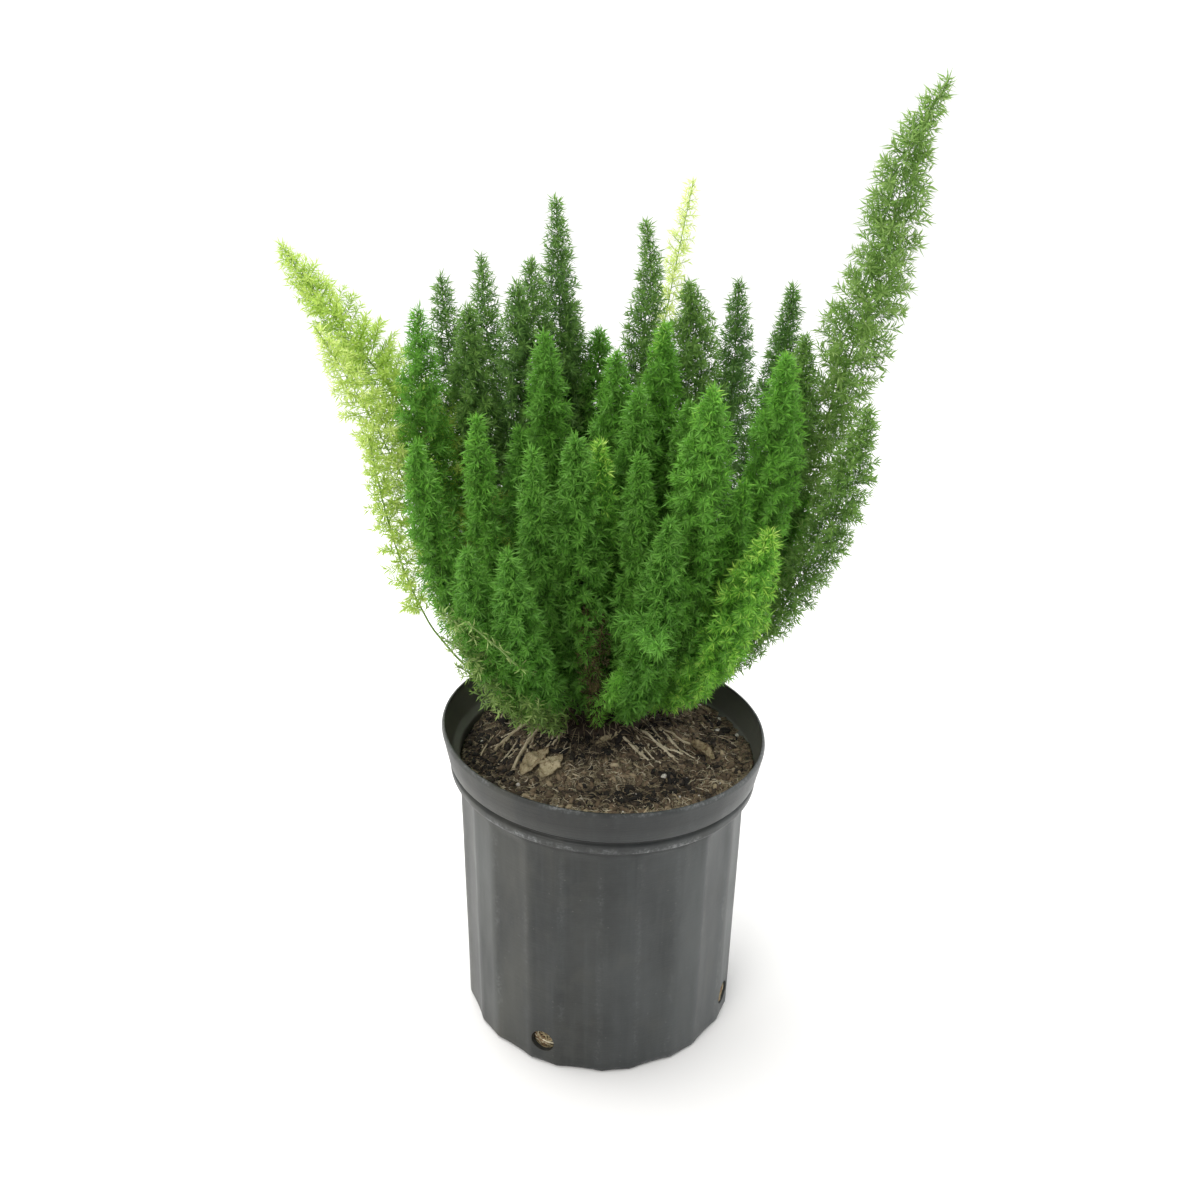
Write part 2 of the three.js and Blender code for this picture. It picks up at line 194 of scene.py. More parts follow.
def ramp(tree, value, stops):
    # A colour ramp through {place: colour}.
    node = put(tree, "ShaderNodeValToRGB", {0: value})
    elements = node.color_ramp.elements
    while len(elements) < len(stops):
        elements.new(0.5)
    for element, (place, colour) in zip(elements, sorted(stops.items())):
        element.position = place
        element.color = (*colour, 1)
    return node.outputs["Color"]


def plainMaterial(name, roughness=0.5, shine=0.5):
    material = bpy.data.materials.new(name)
    material.use_nodes = True
    shader = material.node_tree.nodes["Principled BSDF"]
    shader.inputs["Roughness"].default_value = roughness
    shader.inputs["Specular IOR Level"].default_value = shine
    return material, material.node_tree, shader


def objectPlace(tree):
    return put(tree, "ShaderNodeTexCoord").outputs["Object"]


def marked(tree, name, output="Fac"):
    # Reads a mesh attribute in a material.
    return put(tree, "ShaderNodeAttribute", attribute_name=name).outputs[output]


def bumped(tree, shader, height, strength, distance):
    bump = put(tree, "ShaderNodeBump", {"Height": height, "Strength": strength, "Distance": distance})
    tree.links.new(bump.outputs["Normal"], shader.inputs["Normal"])


def newTree(name, kind, inputs, outputs):
    # A node group with named sockets: {name: (socket type, value)} in and {name: socket type} out.
    tree = bpy.data.node_groups.new(name, kind)
    for label, (socketType, value) in inputs.items():
        socket = tree.interface.new_socket(label, in_out="INPUT", socket_type="NodeSocket" + socketType)
        if value is not None:
            socket.default_value = value
    for label, socketType in outputs.items():
        tree.interface.new_socket(label, in_out="OUTPUT", socket_type="NodeSocket" + socketType)
    return tree, tree.nodes.new("NodeGroupInput").outputs, tree.nodes.new("NodeGroupOutput").inputs


def makeMottle():
    # Soft blotches, from 0 to 1.
    inputs = {"Place": ("Vector", None), "Scale": ("Float", 20.0)}
    inputs.update({"Low": ("Float", 0.35), "High": ("Float", 0.65)})
    group, given, result = newTree("mottle", "ShaderNodeTree", inputs, {"Blotch": "Float"})
    wires = {"Vector": given["Place"], "Scale": given["Scale"], "Detail": 5.0, "Roughness": 0.62}
    cloud = put(group, "ShaderNodeTexNoise", wires).outputs[0]
    group.links.new(spread(group, cloud, given["Low"], given["High"], 0, 1), result["Blotch"])
    return group


def makeSpecks():
    # Small round grains of dust: Amount is the share of cells that hold one.
    inputs = {"Place": ("Vector", None), "Scale": ("Float", 400.0)}
    inputs.update({"Size": ("Float", 0.3), "Amount": ("Float", 0.1)})
    group, given, result = newTree("specks", "ShaderNodeTree", inputs, {"Speck": "Float"})
    cells = put(group, "ShaderNodeTexVoronoi", {"Vector": given["Place"], "Scale": given["Scale"]}).outputs
    pick = put(group, "ShaderNodeSeparateColor", {"Color": cells["Color"]}).outputs
    held = calc(group, "LESS_THAN", pick["Red"], given["Amount"])
    size = times(group, given["Size"], spread(group, pick["Green"], 0, 1, 0.4, 1.0))
    softEdge = 0.12
    disc = spread(group, calc(group, "SUBTRACT", size, cells["Distance"]), 0.0, softEdge, 0, 1)
    group.links.new(times(group, held, disc), result["Speck"])
    return group


def makeGrain():
    # Fine streaks along one direction of the place it is given, squeezed there by Stretch.
    inputs = {"Place": ("Vector", None), "Stretch": ("Vector", (1.0, 1.0, 0.1)), "Scale": ("Float", 200.0)}
    group, given, result = newTree("grain", "ShaderNodeTree", inputs, {"Streak": "Float"})
    wires = {0: given["Place"], 1: given["Stretch"]}
    place = put(group, "ShaderNodeVectorMath", wires, operation="MULTIPLY").outputs[0]
    wires = {"Vector": place, "Scale": given["Scale"], "Detail": 3.0, "Roughness": 0.6}
    streak = put(group, "ShaderNodeTexNoise", wires).outputs[0]
    group.links.new(spread(group, streak, 0.3, 0.7, 0, 1), result["Streak"])
    return group


def makePaletteRead():
    # A piece coloured by a palette: Tone runs across it, and Shade and Top come from its height.
    inputs = {"Palette": ("Vector", None), "Band": ("Float", 0.8)}
    inputs.update({"Low": ("Float", 0.7), "High": ("Float", 1.2)})
    outputs = {"Tone": "Float", "Shade": "Float", "Top": "Float"}
    group, given, result = newTree("paletteRead", "ShaderNodeTree", inputs, outputs)
    parts = parted(group, given["Palette"])
    group.links.new(parts["X"], result["Tone"])
    shade = spread(group, parts["Y"], 0.0, given["Band"], given["Low"], given["High"])
    group.links.new(shade, result["Shade"])
    group.links.new(calc(group, "GREATER_THAN", parts["Y"], given["Band"]), result["Top"])
    return group


effects = {"mottle": makeMottle(), "specks": makeSpecks(), "grain": makeGrain(), "palette": makePaletteRead()}


def effect(tree, name, **values):
    node = put(tree, "ShaderNodeGroup", node_tree=effects[name])
    for key, value in values.items():
        wire(tree, node.inputs[key.title()], value)
    return node.outputs if name == "palette" else node.outputs[0]


def paletteColour(tree, stops, band, low, high):
    # The shaded palette colour at each face's place on the palette, and what was read there.
    uv = put(tree, "ShaderNodeUVMap", uv_map="OFBake").outputs["UV"]
    read = effect(tree, "palette", palette=uv, band=band, low=low, high=high)
    grey = combined(tree, read["Shade"], read["Shade"], read["Shade"])
    return mixed(tree, 1.0, ramp(tree, read["Tone"], stops), grey, "MULTIPLY"), read


def growthInputs(values, **more):
    # Sockets for a geometry tree: its geometry, a number for each value, and others.
    whole = ("Seed", "Needles")
    sockets = {name: ("Int" if name in whole else "Float", value) for name, value in values.items()}
    return {"Geometry": ("Geometry", None), **sockets, **more, "Finish": ("Material", None)}


def chance(tree, low, high, seed, salt):
    wires = {"Min_001": low, "Max_001": high, "Seed": plus(tree, seed, salt)}
    return put(tree, "FunctionNodeRandomValue", wires).outputs[1]


def stored(tree, geometry, name, value, kind="FLOAT", domain="POINT"):
    wires = {"Geometry": geometry, "Name": name, "Value": value}
    return put(tree, "GeometryNodeStoreNamedAttribute", wires, data_type=kind, domain=domain).outputs[0]


def recalled(tree, name, kind="FLOAT"):
    return put(tree, "GeometryNodeInputNamedAttribute", {"Name": name}, data_type=kind).outputs["Attribute"]


def turned(tree, rotation, x, z):
    # Leans a rotation by x about its own X, after a turn by z about its own Z.
    euler = put(tree, "FunctionNodeEulerToRotation", {"Euler": combined(tree, x, 0.0, z)}).outputs[0]
    wires = {"Rotation": rotation, "Rotate By": euler}
    return put(tree, "FunctionNodeRotateRotation", wires, rotation_space="LOCAL").outputs[0]


def trimmed(tree, curve, start, end):
    wires = {"Curve": curve, "Start": start, "End": end}
    return put(tree, "GeometryNodeTrimCurve", wires, mode="FACTOR").outputs[0]


def swept(tree, curve, sides, radius, scale):
    # A rod along a curve, with closed ends.
    ring = put(tree, "GeometryNodeCurvePrimitiveCircle", {"Resolution": sides, "Radius": radius}).outputs[0]
    wires = {"Curve": curve, "Profile Curve": ring, "Scale": scale, "Fill Caps": True}
    return put(tree, "GeometryNodeCurveToMesh", wires).outputs[0]


def pointsAlong(tree, curve, spacing):
    return put(tree, "GeometryNodeCurveToPoints", {"Curve": curve, "Length": spacing}, mode="LENGTH").outputs


def planted(tree, points, shape, rotation, scale, pick=False):
    # A shape, or one picked from a collection, set on each point and made real.
    wires = {"Points": points, "Instance": shape, "Pick Instance": pick, "Rotation": rotation, "Scale": scale}
    placed = put(tree, "GeometryNodeInstanceOnPoints", wires).outputs[0]
    return put(tree, "GeometryNodeRealizeInstances", {"Geometry": placed}).outputs[0]


def paletteMapped(tree, geometry, tone, side, height):
    # Gives each face its own small place on the palette: across by tone, up by height.
    halfWidth = 0.012
    u = timesPlus(tree, side, halfWidth, tone)
    u = put(tree, "ShaderNodeClamp", {"Value": u, "Min": 0.002, "Max": 0.998}).outputs[0]
    return stored(tree, geometry, "OFBake", combined(tree, u, height, 0.0), "FLOAT2", "CORNER")


def ended(tree, geometry, want, result):
    # The tree's end: its geometry, made real and in its finish.
    whole = put(tree, "GeometryNodeRealizeInstances", {"Geometry": geometry}).outputs[0]
    wires = {"Geometry": whole, "Material": want["Finish"]}
    tree.links.new(put(tree, "GeometryNodeSetMaterial", wires).outputs[0], result[0])


def addObject(name, data):
    thing = bpy.data.objects.new(name, data)
    scene.collection.objects.link(thing)
    return thing


def evaluatedMesh(thing):
    return bpy.data.meshes.new_from_object(thing.evaluated_get(bpy.context.evaluated_depsgraph_get()))


def grown(seedObject, tree, name, values):
    # Runs a geometry tree on an object and returns its result as a plain mesh object.
    modifier = seedObject.modifiers.new("growth", "NODES")
    modifier.node_group = tree
    for item in tree.interface.items_tree:
        if item.in_out == "INPUT" and item.name in values:
            modifier[item.identifier] = values[item.name]
    mesh = evaluatedMesh(seedObject)
    bpy.data.objects.remove(seedObject)
    mesh.name = name
    spares = [a.name for a in mesh.attributes if a.name in ("id", "stemTurn") or a.data_type == "FLOAT"]
    for spare in spares:
        mesh.attributes.remove(mesh.attributes[spare])
    return addObject(name, mesh)


def meshObject(name, vertices, edges=(), faces=()):
    mesh = bpy.data.meshes.new(name)
    mesh.from_pydata([tuple(v) for v in vertices], list(edges), list(faces))
    return addObject(name, mesh)


def bmeshObject(name, bm):
    mesh = bpy.data.meshes.new(name)
    bm.to_mesh(mesh)
    bm.free()
    return addObject(name, mesh)


def mark(thing, name, values, kind="FLOAT"):
    # Keeps a value for each point of a mesh.
    attribute = thing.data.attributes.new(name, kind, "POINT")
    key = "vector" if kind == "FLOAT_VECTOR" else "value"
    attribute.data.foreach_set(key, np.asarray(values, dtype=np.float32).ravel())


def smoothStep(value, low, high):
    share = min(max((value - low) / (high - low), 0.0), 1.0)
    return share * share * (3.0 - 2.0 * share)


def heading(turn):
    return Vector((math.cos(turn), math.sin(turn), 0))


def tube(points, radii, sides):
    # A closed tube along a line. Returns corners, faces and each corner's place across and along the tube.
    points = [Vector(p) for p in points]
    side = (points[1] - points[0]).orthogonal().normalized()
    corners, faces, grains = [], [], []
    along = 0.0
    for i, (point, radius) in enumerate(zip(points, radii)):
        ahead = (points[min(i + 1, len(points) - 1)] - points[max(i - 1, 0)]).normalized()
        side = (side - ahead * side.dot(ahead)).normalized()
        up = ahead.cross(side)
        along += (point - points[max(i - 1, 0)]).length
        for k in range(sides):
            turn = math.tau * k / sides
            corners.append(point + radius * (math.cos(turn) * side + math.sin(turn) * up))
            grains.append((radius * math.cos(turn), radius * math.sin(turn), along))
    for i in range(len(points) - 1):
        for k in range(sides):
            a, b = i * sides + k, i * sides + (k + 1) % sides
            faces.append((a, b, b + sides, a + sides))
    last = (len(points) - 1) * sides
    faces.append(tuple(reversed(range(sides))))
    faces.append(tuple(range(last, last + sides)))
    return corners, faces, grains


def joinedTubes(name, tubes):
    # One object from many tubes, each with its own tone. Grain and tone are kept on its points.
    corners, faces, grains, tones = [], [], [], []
    grainShift = 0.37  # keeps neighbours from showing the same streaks
    for (tubeCorners, tubeFaces, tubeGrains), tone in tubes:
        start = len(corners)
        corners += tubeCorners
        faces += [tuple(start + i for i in face) for face in tubeFaces]
        grains += [(x, y, z + grainShift * len(tones) % 1.0) for x, y, z in tubeGrains]
        tones += [tone] * len(tubeCorners)
    thing = meshObject(name, corners, faces=faces)
    thing.data.shade_smooth()
    mark(thing, "tone", tones)
    mark(thing, "grain", grains, "FLOAT_VECTOR")
    return thing


def revolved(rings, columns):
    # Faces between rings of corners, with a pole where a ring is a single corner. Rings go up the outside.
    faces, start = [], 0
    for ring, after in zip(rings, rings[1:]):
        low, high = start, start + len(ring)
        for k in range(columns):
            n = (k + 1) % columns
            if len(ring) == 1:
                faces.append((low, high + n, high + k))
            elif len(after) == 1:
                faces.append((low + k, low + n, high))
            else:
                faces.append((low + k, low + n, high + n, high + k))
        start = high
    return faces


def finished(piece, material, slot, *nodes):
    if material:
        piece.data.materials.append(material)
    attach(piece, "root")
    if nodes:
        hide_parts(*nodes)
    print(piece.name, sum(len(p.vertices) - 2 for p in piece.data.polygons), "triangles")


frondHabit = {
    "Plume Radius": 0.014,  # to the needles' ends
    "Tip Radius": 0.0045,
    "Tip Taper": 0.05,
    "Foot Radius": 0.005,
    "Foot Taper": 0.09,
    "Bare Share": 0.09,
    "Foot Density": 0.7,  # share of the sprigs that stand near the foot
    "Sprig Spacing": 0.0009,
    "Sprig Lean": math.radians(68),
    "Whorl Spacing": 0.0015,
    "Needles": 6,
    "Needle Length": 0.0080,
    "Needle Width": 0.00105,
    "Stem Radius": 0.0012,
    "Twig Radius": 0.0007,
    "Tint": 0.35,
    "Tint Spread": 0.045,
    "Tip Tint": 0.1,
    "Tip Trim": 0.004,
    "Seed": 0,
}

# What several fronds or shoots have in common.
frondKinds = {
    "airy": {"Whorl Spacing": 0.0018, "Twig Radius": 0.0005},
    "fine": {"Whorl Spacing": 0.0016, "Twig Radius": 0.0005},
    "bushy": {"Foot Density": 1.0},
    "inner": {"Bare Share": 0.2},
    "rear": {"Sprig Spacing": 0.0017},
    "dry": {"Plume Radius": 0.010, "Sprig Spacing": 0.0018, "Whorl Spacing": 0.002, "Needles": 4,
            "Needle Length": 0.0055, "Needle Width": 0.0009, "Foot Density": 1.0, "Tint": 0.5,
            "Tint Spread": 0.3, "Twig Radius": 0.0005},
    "faded": {"Plume Radius": 0.013, "Sprig Spacing": 0.0026, "Whorl Spacing": 0.0018, "Needles": 4,
              "Bare Share": 0.25, "Needle Length": 0.0075, "Needle Width": 0.0012, "Foot Density": 1.0,
              "Foot Taper": 0.03, "Tint": 0.44, "Tint Spread": 0.22, "Twig Radius": 0.0004},
}

# Each frond: plume radius in millimetres, tint from dark (0) to pale (1), finish and kind, other changes.
frondOwn = {
    "right_tall": (26, 0.68, "hazy", {
        "Needle Length": 0.0096, "Needle Width": 0.0013, "Tip Taper": 0.09, "Foot Taper": 0.14,
        "Tip Tint": 0.05, "Sprig Spacing": 0.0012, "Whorl Spacing": 0.0022, "Twig Radius": 0.0004,
        "Stem Radius": 0.0014}),
    "right_tall_companion": (11, 0.46, "fresh", {"Foot Taper": 0.14, "Tip Trim": 0.16}),
    "right_arching": (19, 0.5, "hazy airy", {"Foot Taper": 0.2}),
    "right_edge_back": (17, 0.44, "hazy", {}),
    "right_bright": (20, 0.45, "fresh", {"Bare Share": 0.16}),
    "right_spire": (20, 0.3, "hazy fine", {"Tip Taper": 0.08}),
    "right_front_low": (21, 0.6, "fresh bushy", {"Bare Share": 0.18}),
    "right_front_inner": (17, 0.42, "fresh inner", {}),
    "lime_left_back": (33, 0.62, "lime airy", {"Tip Taper": 0.1, "Sprig Spacing": 0.00115}),
    "lime_left": (23, 0.76, "lime airy", {"Tip Taper": 0.08, "Sprig Spacing": 0.0017}),
    "lime_left_sparse": (14, 0.62, "lime", {"Sprig Spacing": 0.0024, "Bare Share": 0.48,
                                            "Twig Radius": 0.0004}),
    "left_edge": (20, 0.42, "fresh", {"Bare Share": 0.12, "Tip Taper": 0.06, "Sprig Spacing": 0.0012}),
    "left_front_edge": (17, 0.42, "fresh bushy", {"Bare Share": 0.26}),
    "left_front_low": (19, 0.23, "fresh", {"Bare Share": 0.3, "Foot Density": 0.8}),
    "left_inner": (18, 0.42, "hazy", {}),
    "left_front_inner": (14, 0.42, "fresh inner", {}),
    "left_back_edge": (19, 0.36, "hazy airy", {"Tip Taper": 0.06, "Sprig Spacing": 0.0012}),
    "left_back_spire": (20, 0.38, "hazy airy", {"Tip Taper": 0.08, "Sprig Spacing": 0.0012}),
    "left_back_inner": (20, 0.38, "hazy fine", {"Sprig Spacing": 0.0012}),
    "left_over_rim": (11, 0.2, "fresh bushy", {}),
    "mid_left_back": (20, 0.36, "hazy", {"Sprig Spacing": 0.0013}),
    "mid_left": (18, 0.36, "fresh", {}),
    "mid_left_front": (16, 0.25, "fresh inner", {}),
    "mid": (19, 0.42, "fresh", {}),
    "mid_right": (19, 0.47, "fresh", {}),
    "mid_right_front": (17, 0.34, "fresh inner", {}),
    "mid_front": (18, 0.34, "fresh", {"Bare Share": 0.14, "Foot Density": 0.8, "Foot Taper": 0.07}),
    "mid_right_back": (27, 0.45, "hazy fine", {"Tip Taper": 0.06}),
    "mid_spire": (25, 0.41, "hazy fine", {"Tip Taper": 0.13, "Sprig Spacing": 0.0011}),
    "back_tall": (27, 0.38, "hazy fine", {"Tip Taper": 0.13, "Sprig Spacing": 0.0011}),
    "back_left": (22, 0.42, "hazy", {"Sprig Spacing": 0.0013, "Tip Trim": 0.034}),
    "back_mid": (24, 0.36, "fresh", {}),
    "back_pale": (11, 0.88, "lime airy", {"Sprig Spacing": 0.0023, "Needle Length": 0.007}),
    "back_right": (22, 0.3, "hazy fine", {"Tip Taper": 0.08, "Sprig Spacing": 0.0011}),
    "front_bright": (21, 0.46, "fresh", {"Bare Share": 0.18}),
    "front_right": (15, 0.34, "fresh inner", {}),
    "front_yellow_tip": (15, 0.48, "fresh inner", {"Tip Tint": 0.25}),
    "front_left": (19, 0.27, "fresh", {"Bare Share": 0.12, "Foot Density": 0.9, "Foot Taper": 0.06}),
    "front_far_left": (14, 0.28, "fresh", {"Bare Share": 0.26}),
    "front_low_left": (17, 0.2, "fresh bushy", {"Bare Share": 0.28}),
    "front_low_right": (17, 0.22, "fresh bushy", {"Bare Share": 0.16}),
    "front_nodding": (23, 0.2, "emerald bushy", {"Tip Tint": 0.0, "Needle Length": 0.0095,
                                                 "Sprig Spacing": 0.0015, "Twig Radius": 0.0004}),
    # its pale tint is painted light, to make the low tuft look lit though the fronds above shade it
    "front_lowest": (24, 0.78, "emerald bushy", {"Tip Tint": 0.05, "Foot Taper": 0.2, "Tip Taper": 0.04,
                                                 "Tip Trim": 0.012}),
    "rear_left_edge": (16, 0.35, "fresh rear", {}),
    "rear_left": (16, 0.38, "fresh rear", {}),
    "rear_mid_left": (16, 0.33, "fresh rear", {}),
    "rear_mid_right": (16, 0.4, "fresh rear", {}),
    "rear_right": (16, 0.36, "fresh rear", {}),
    "rear_right_edge": (16, 0.35, "fresh rear", {}),
}

# How far a frond's lower part, its upper part and the place below its tip are moved, in millimetres.
forward, further = (0, 8, 9), (0, 10, 13)
moved = {
    **dict.fromkeys(("left_front_inner", "front_left", "front_low_right"), (forward,)),
    **dict.fromkeys(("right_front_low", "right_front_inner"), (forward,)),
    **dict.fromkeys(("front_low_left", "left_front_low", "left_front_edge", "front_far_left"), (further,)),
    "right_tall": ((-1, 0, 3), (1, 0, 0), (-12, 0, 0)),
    "right_arching": ((-17, 0, 7),),
    "back_tall": ((6, 0, 0), (-1, 0, 0)),
    "lime_left_back": ((8, 0, 0),),
    "lime_left_sparse": ((6, 0, 4),),
    "back_pale": ((-11, 0, 0), (5, 0, 0)),
    "mid_right_back": ((8, 0, 0), (-1, 0, 0), (5, 0, 0)),
    "mid_spire": ((8, 0, 0), (-3, 0, 0), (6, 0, 0)),
    "front_bright": (forward, (4, 0, 5)),
    "front_right": ((5, 8, 9),),
    "front_yellow_tip": ((-5, 8, 9),),
    "front_lowest": ((-5, -4, 14), (8, -9, 21)),
    "front_nodding": ((0, 0, 8), (-12, -4, 10)),
}

# Shoots without a solid of their own: finish, points in millimetres from foot to tip, other changes.
looseShoots = {
    "dried_shoot_left": ("dry", [(-10, 0, 258), (-11, -40, 319), (-14, -52, 363), (-13, -58, 410)], {}),
    "dried_shoot_right": ("dry", [(-3, 2, 258), (-5, -38, 313), (-4, -50, 354), (-2, -56, 388)], {}),
    "faded_shoot_upper": ("faded", [(-46, -5, 260), (-84, -74, 369), (-100, -88, 390), (-118, -97, 407)],
                          {"Tint": 0.72, "Plume Radius": 0.014}),
    "faded_shoot_middle": ("faded", [(-42, -5, 260), (-82, -70, 344), (-99, -86, 367), (-117, -96, 388)],
                           {"Tint": 0.6}),
    "faded_shoot_lower": ("faded", [(-40, -8, 260), (-74, -66, 324), (-90, -80, 343), (-107, -92, 362)], {}),
    "faded_shoot_lowest": ("faded", [(-36, -8, 260), (-68, -62, 308), (-81, -76, 323), (-97, -86, 338)], {}),
    "faded_shoot_inner": ("faded", [(-30, -10, 262), (-45, -66, 306), (-54, -80, 322), (-63, -92, 334)], {}),
    "faded_arch": ("faded", [(-40, -30, 320), (-59, -97, 363), (-73, -106, 382), (-98, -112, 408)],
                   {"Plume Radius": 0.006, "Sprig Spacing": 0.007, "Stem Radius": 0.0017, "Tint": 0.85}),
    "lime_inside": ("lime", [(-80, 40, 372), (-95, 50, 432), (-107, 58, 477), (-116, 62, 512)],
                    {"Plume Radius": 0.012, "Tint": 0.42, "Bare Share": 0.05, "Sprig Spacing": 0.0022,
                     "Twig Radius": 0.0004}),
}

# Colours from dark to pale: {place along the palette: colour}.
needlePalette = {
    "needles": {
        0.0: (0.060, 0.176, 0.019), 0.14: (0.076, 0.222, 0.023), 0.26: (0.102, 0.272, 0.034),
        0.42: (0.142, 0.332, 0.047), 0.55: (0.128, 0.340, 0.040), 0.68: (0.190, 0.450, 0.052),
        0.85: (0.460, 0.670, 0.110), 1.0: (0.640, 0.730, 0.320)},
    "hazyNeedles": {
        0.0: (0.080, 0.165, 0.048), 0.3: (0.112, 0.236, 0.060), 0.55: (0.165, 0.310, 0.062),
        0.75: (0.210, 0.350, 0.080), 1.0: (0.380, 0.500, 0.200)},
    "limeNeedles": {
        0.0: (0.200, 0.380, 0.050), 0.5: (0.360, 0.530, 0.085), 0.75: (0.500, 0.640, 0.150),
        1.0: (0.680, 0.760, 0.320)},
    "emeraldNeedles": {0.0: (0.124, 0.312, 0.050), 0.5: (0.200, 0.490, 0.066), 1.0: (0.290, 0.640, 0.100)},
    "dryNeedles": {0.0: (0.030, 0.025, 0.009), 0.5: (0.070, 0.058, 0.018), 1.0: (0.20, 0.17, 0.07)},
    "fadedNeedles": {0.0: (0.060, 0.120, 0.024), 0.5: (0.160, 0.270, 0.058), 1.0: (0.420, 0.540, 0.190)},
    "stems": {0.0: (0.09, 0.15, 0.035), 0.5: (0.20, 0.34, 0.07), 1.0: (0.46, 0.64, 0.18)},
    "dryStems": {0.0: (0.05, 0.038, 0.014), 1.0: (0.13, 0.10, 0.04)},
    "fadedStems": {0.0: (0.12, 0.20, 0.05), 1.0: (0.27, 0.40, 0.12)},
    "stemBand": 0.82,  # stems use the palette's top part, above this height
    # painted shade at a needle's foot, deep in the plume, and painted light at its tip
    "footPaintedShade": 0.92,
    "tipPaintedLight": 1.36,
    "roughness": 0.5,
    "shine": 0.35,
    "through": 0.4,  # share of the light that comes through a needle
}

# The material of each finish: its name, its needles' colours and its stems' colours.
frondFinishes = {
    "fresh": ("fernNeedles", "needles", "stems"),
    "hazy": ("hazyNeedles", "hazyNeedles", "stems"),
    "lime": ("limeNeedles", "limeNeedles", "stems"),
    "emerald": ("emeraldNeedles", "emeraldNeedles", "stems"),
    "dry": ("driedNeedles", "dryNeedles", "dryStems"),
    "faded": ("fadedNeedles", "fadedNeedles", "fadedStems"),
}

# How sprigs and needles stand and vary, the same in every frond. Spans go from the lowest to the highest.
plume = {
    "lineStations": 32,
    "stemSides": 5,
    "stemEnd": 0.25,  # thickness at its end, as a share of its foot's
    "leafyEnd": 0.996,
    "fullSpan": (0.03, 0.16),  # heights over the foot between which the sprigs come to full number
    "goldenTurn": math.radians(137.5),
    "turnSpan": (-0.5, 0.5),
    "reachSpan": (0.9, 1.16),
    "tipLean": 0.6,  # sprigs lean less at the tip
    "tipLeanLength": 0.03,
    "leanSpan": (-0.2, 0.2),
    "needleReach": 0.6,  # of a needle's length, how much it stands out past its sprig
    "shortest": 0.0024,
    "twigSides": 3,
    "twigEnd": 0.4,
    "bareTwig": 0.28,
    "whorlTurn": (0.0, 2.2),
    "opening": (1.25, 0.95),  # a needle's angle to its sprig, near the foot and at the end
    "openingSpan": (-0.35, 0.35),
    "rollSpan": (-1.2, 1.2),
    "lengthSpan": (0.62, 1.12),
    "widthSpan": (0.75, 1.1),
    "sprigTints": (-0.12, 0.07),  # at a sprig's foot and at its end
    "needleTints": (-0.11, 0.11),
    "youngLength": 0.05,
    "twigTint": -0.04,
    "solidSides": 7,  # of a frond's solid
    "rootDepth": 0.004,
    "fuller": 1.1,  # a few needles of each plume reach past its radius
}


def makeNeedleMaterial(name, needles, stems):
    look = needlePalette
    material, tree, shader = plainMaterial(name, look["roughness"], look["shine"])
    lit, read = paletteColour(tree, look[needles], look["stemBand"], look["footPaintedShade"], look["tipPaintedLight"])
    colour = mixed(tree, read["Top"], lit, ramp(tree, read["Tone"], look[stems]))
    tree.links.new(colour, shader.inputs["Base Color"])
    through = put(tree, "ShaderNodeBsdfTranslucent", {"Color": colour}).outputs[0]
    both = put(tree, "ShaderNodeMixShader", {0: look["through"], 1: shader.outputs[0], 2: through}).outputs[0]
    tree.links.new(both, tree.nodes["Material Output"].inputs["Surface"])
    return material


def makeNeedle():
    # A flat needle one unit long, pointed at both ends.
    needle = meshObject("needleShape", [(-0.3, 0, 0), (0.7, 0, 0.42), (-0.3, 0.06, 1)], faces=[(0, 1, 2)])
    mark(needle, "side", (-1, 1, -1))
    mark(needle, "along", (0, 0.42, 1))
    return needle


def frondLine(tree, want):
    # The stem's line, with the distance from its foot and to its tip kept on it, and its own rod.
    line = put(tree, "GeometryNodeMeshToCurve", {"Mesh": want["Geometry"]}).outputs[0]
    line = put(tree, "GeometryNodeCurveSplineType", {"Curve": line}, spline_type="CATMULL_ROM").outputs[0]
    wires = {"Curve": line, "Count": plume["lineStations"]}
    line = put(tree, "GeometryNodeResampleCurve", wires, mode="COUNT").outputs[0]
    place = put(tree, "GeometryNodeSplineParameter").outputs
    total = put(tree, "GeometryNodeSplineLength").outputs["Length"]
    ending = calc(tree, "SUBTRACT", 1.0, calc(tree, "DIVIDE", want["Tip Trim"], total))
    line = trimmed(tree, line, 0.0, ending)
    line = stored(tree, line, "fromFoot", place["Length"])
    line = stored(tree, line, "toTip", calc(tree, "SUBTRACT", total, place["Length"]))
    thickness = times(tree, want["Stem Radius"], spread(tree, place["Factor"], 0, 1, 1.0, plume["stemEnd"]))
    rod = swept(tree, line, plume["stemSides"], 1.0, thickness)
    return line, put(tree, "GeometryNodeSetShadeSmooth", {"Geometry": rod}).outputs[0]


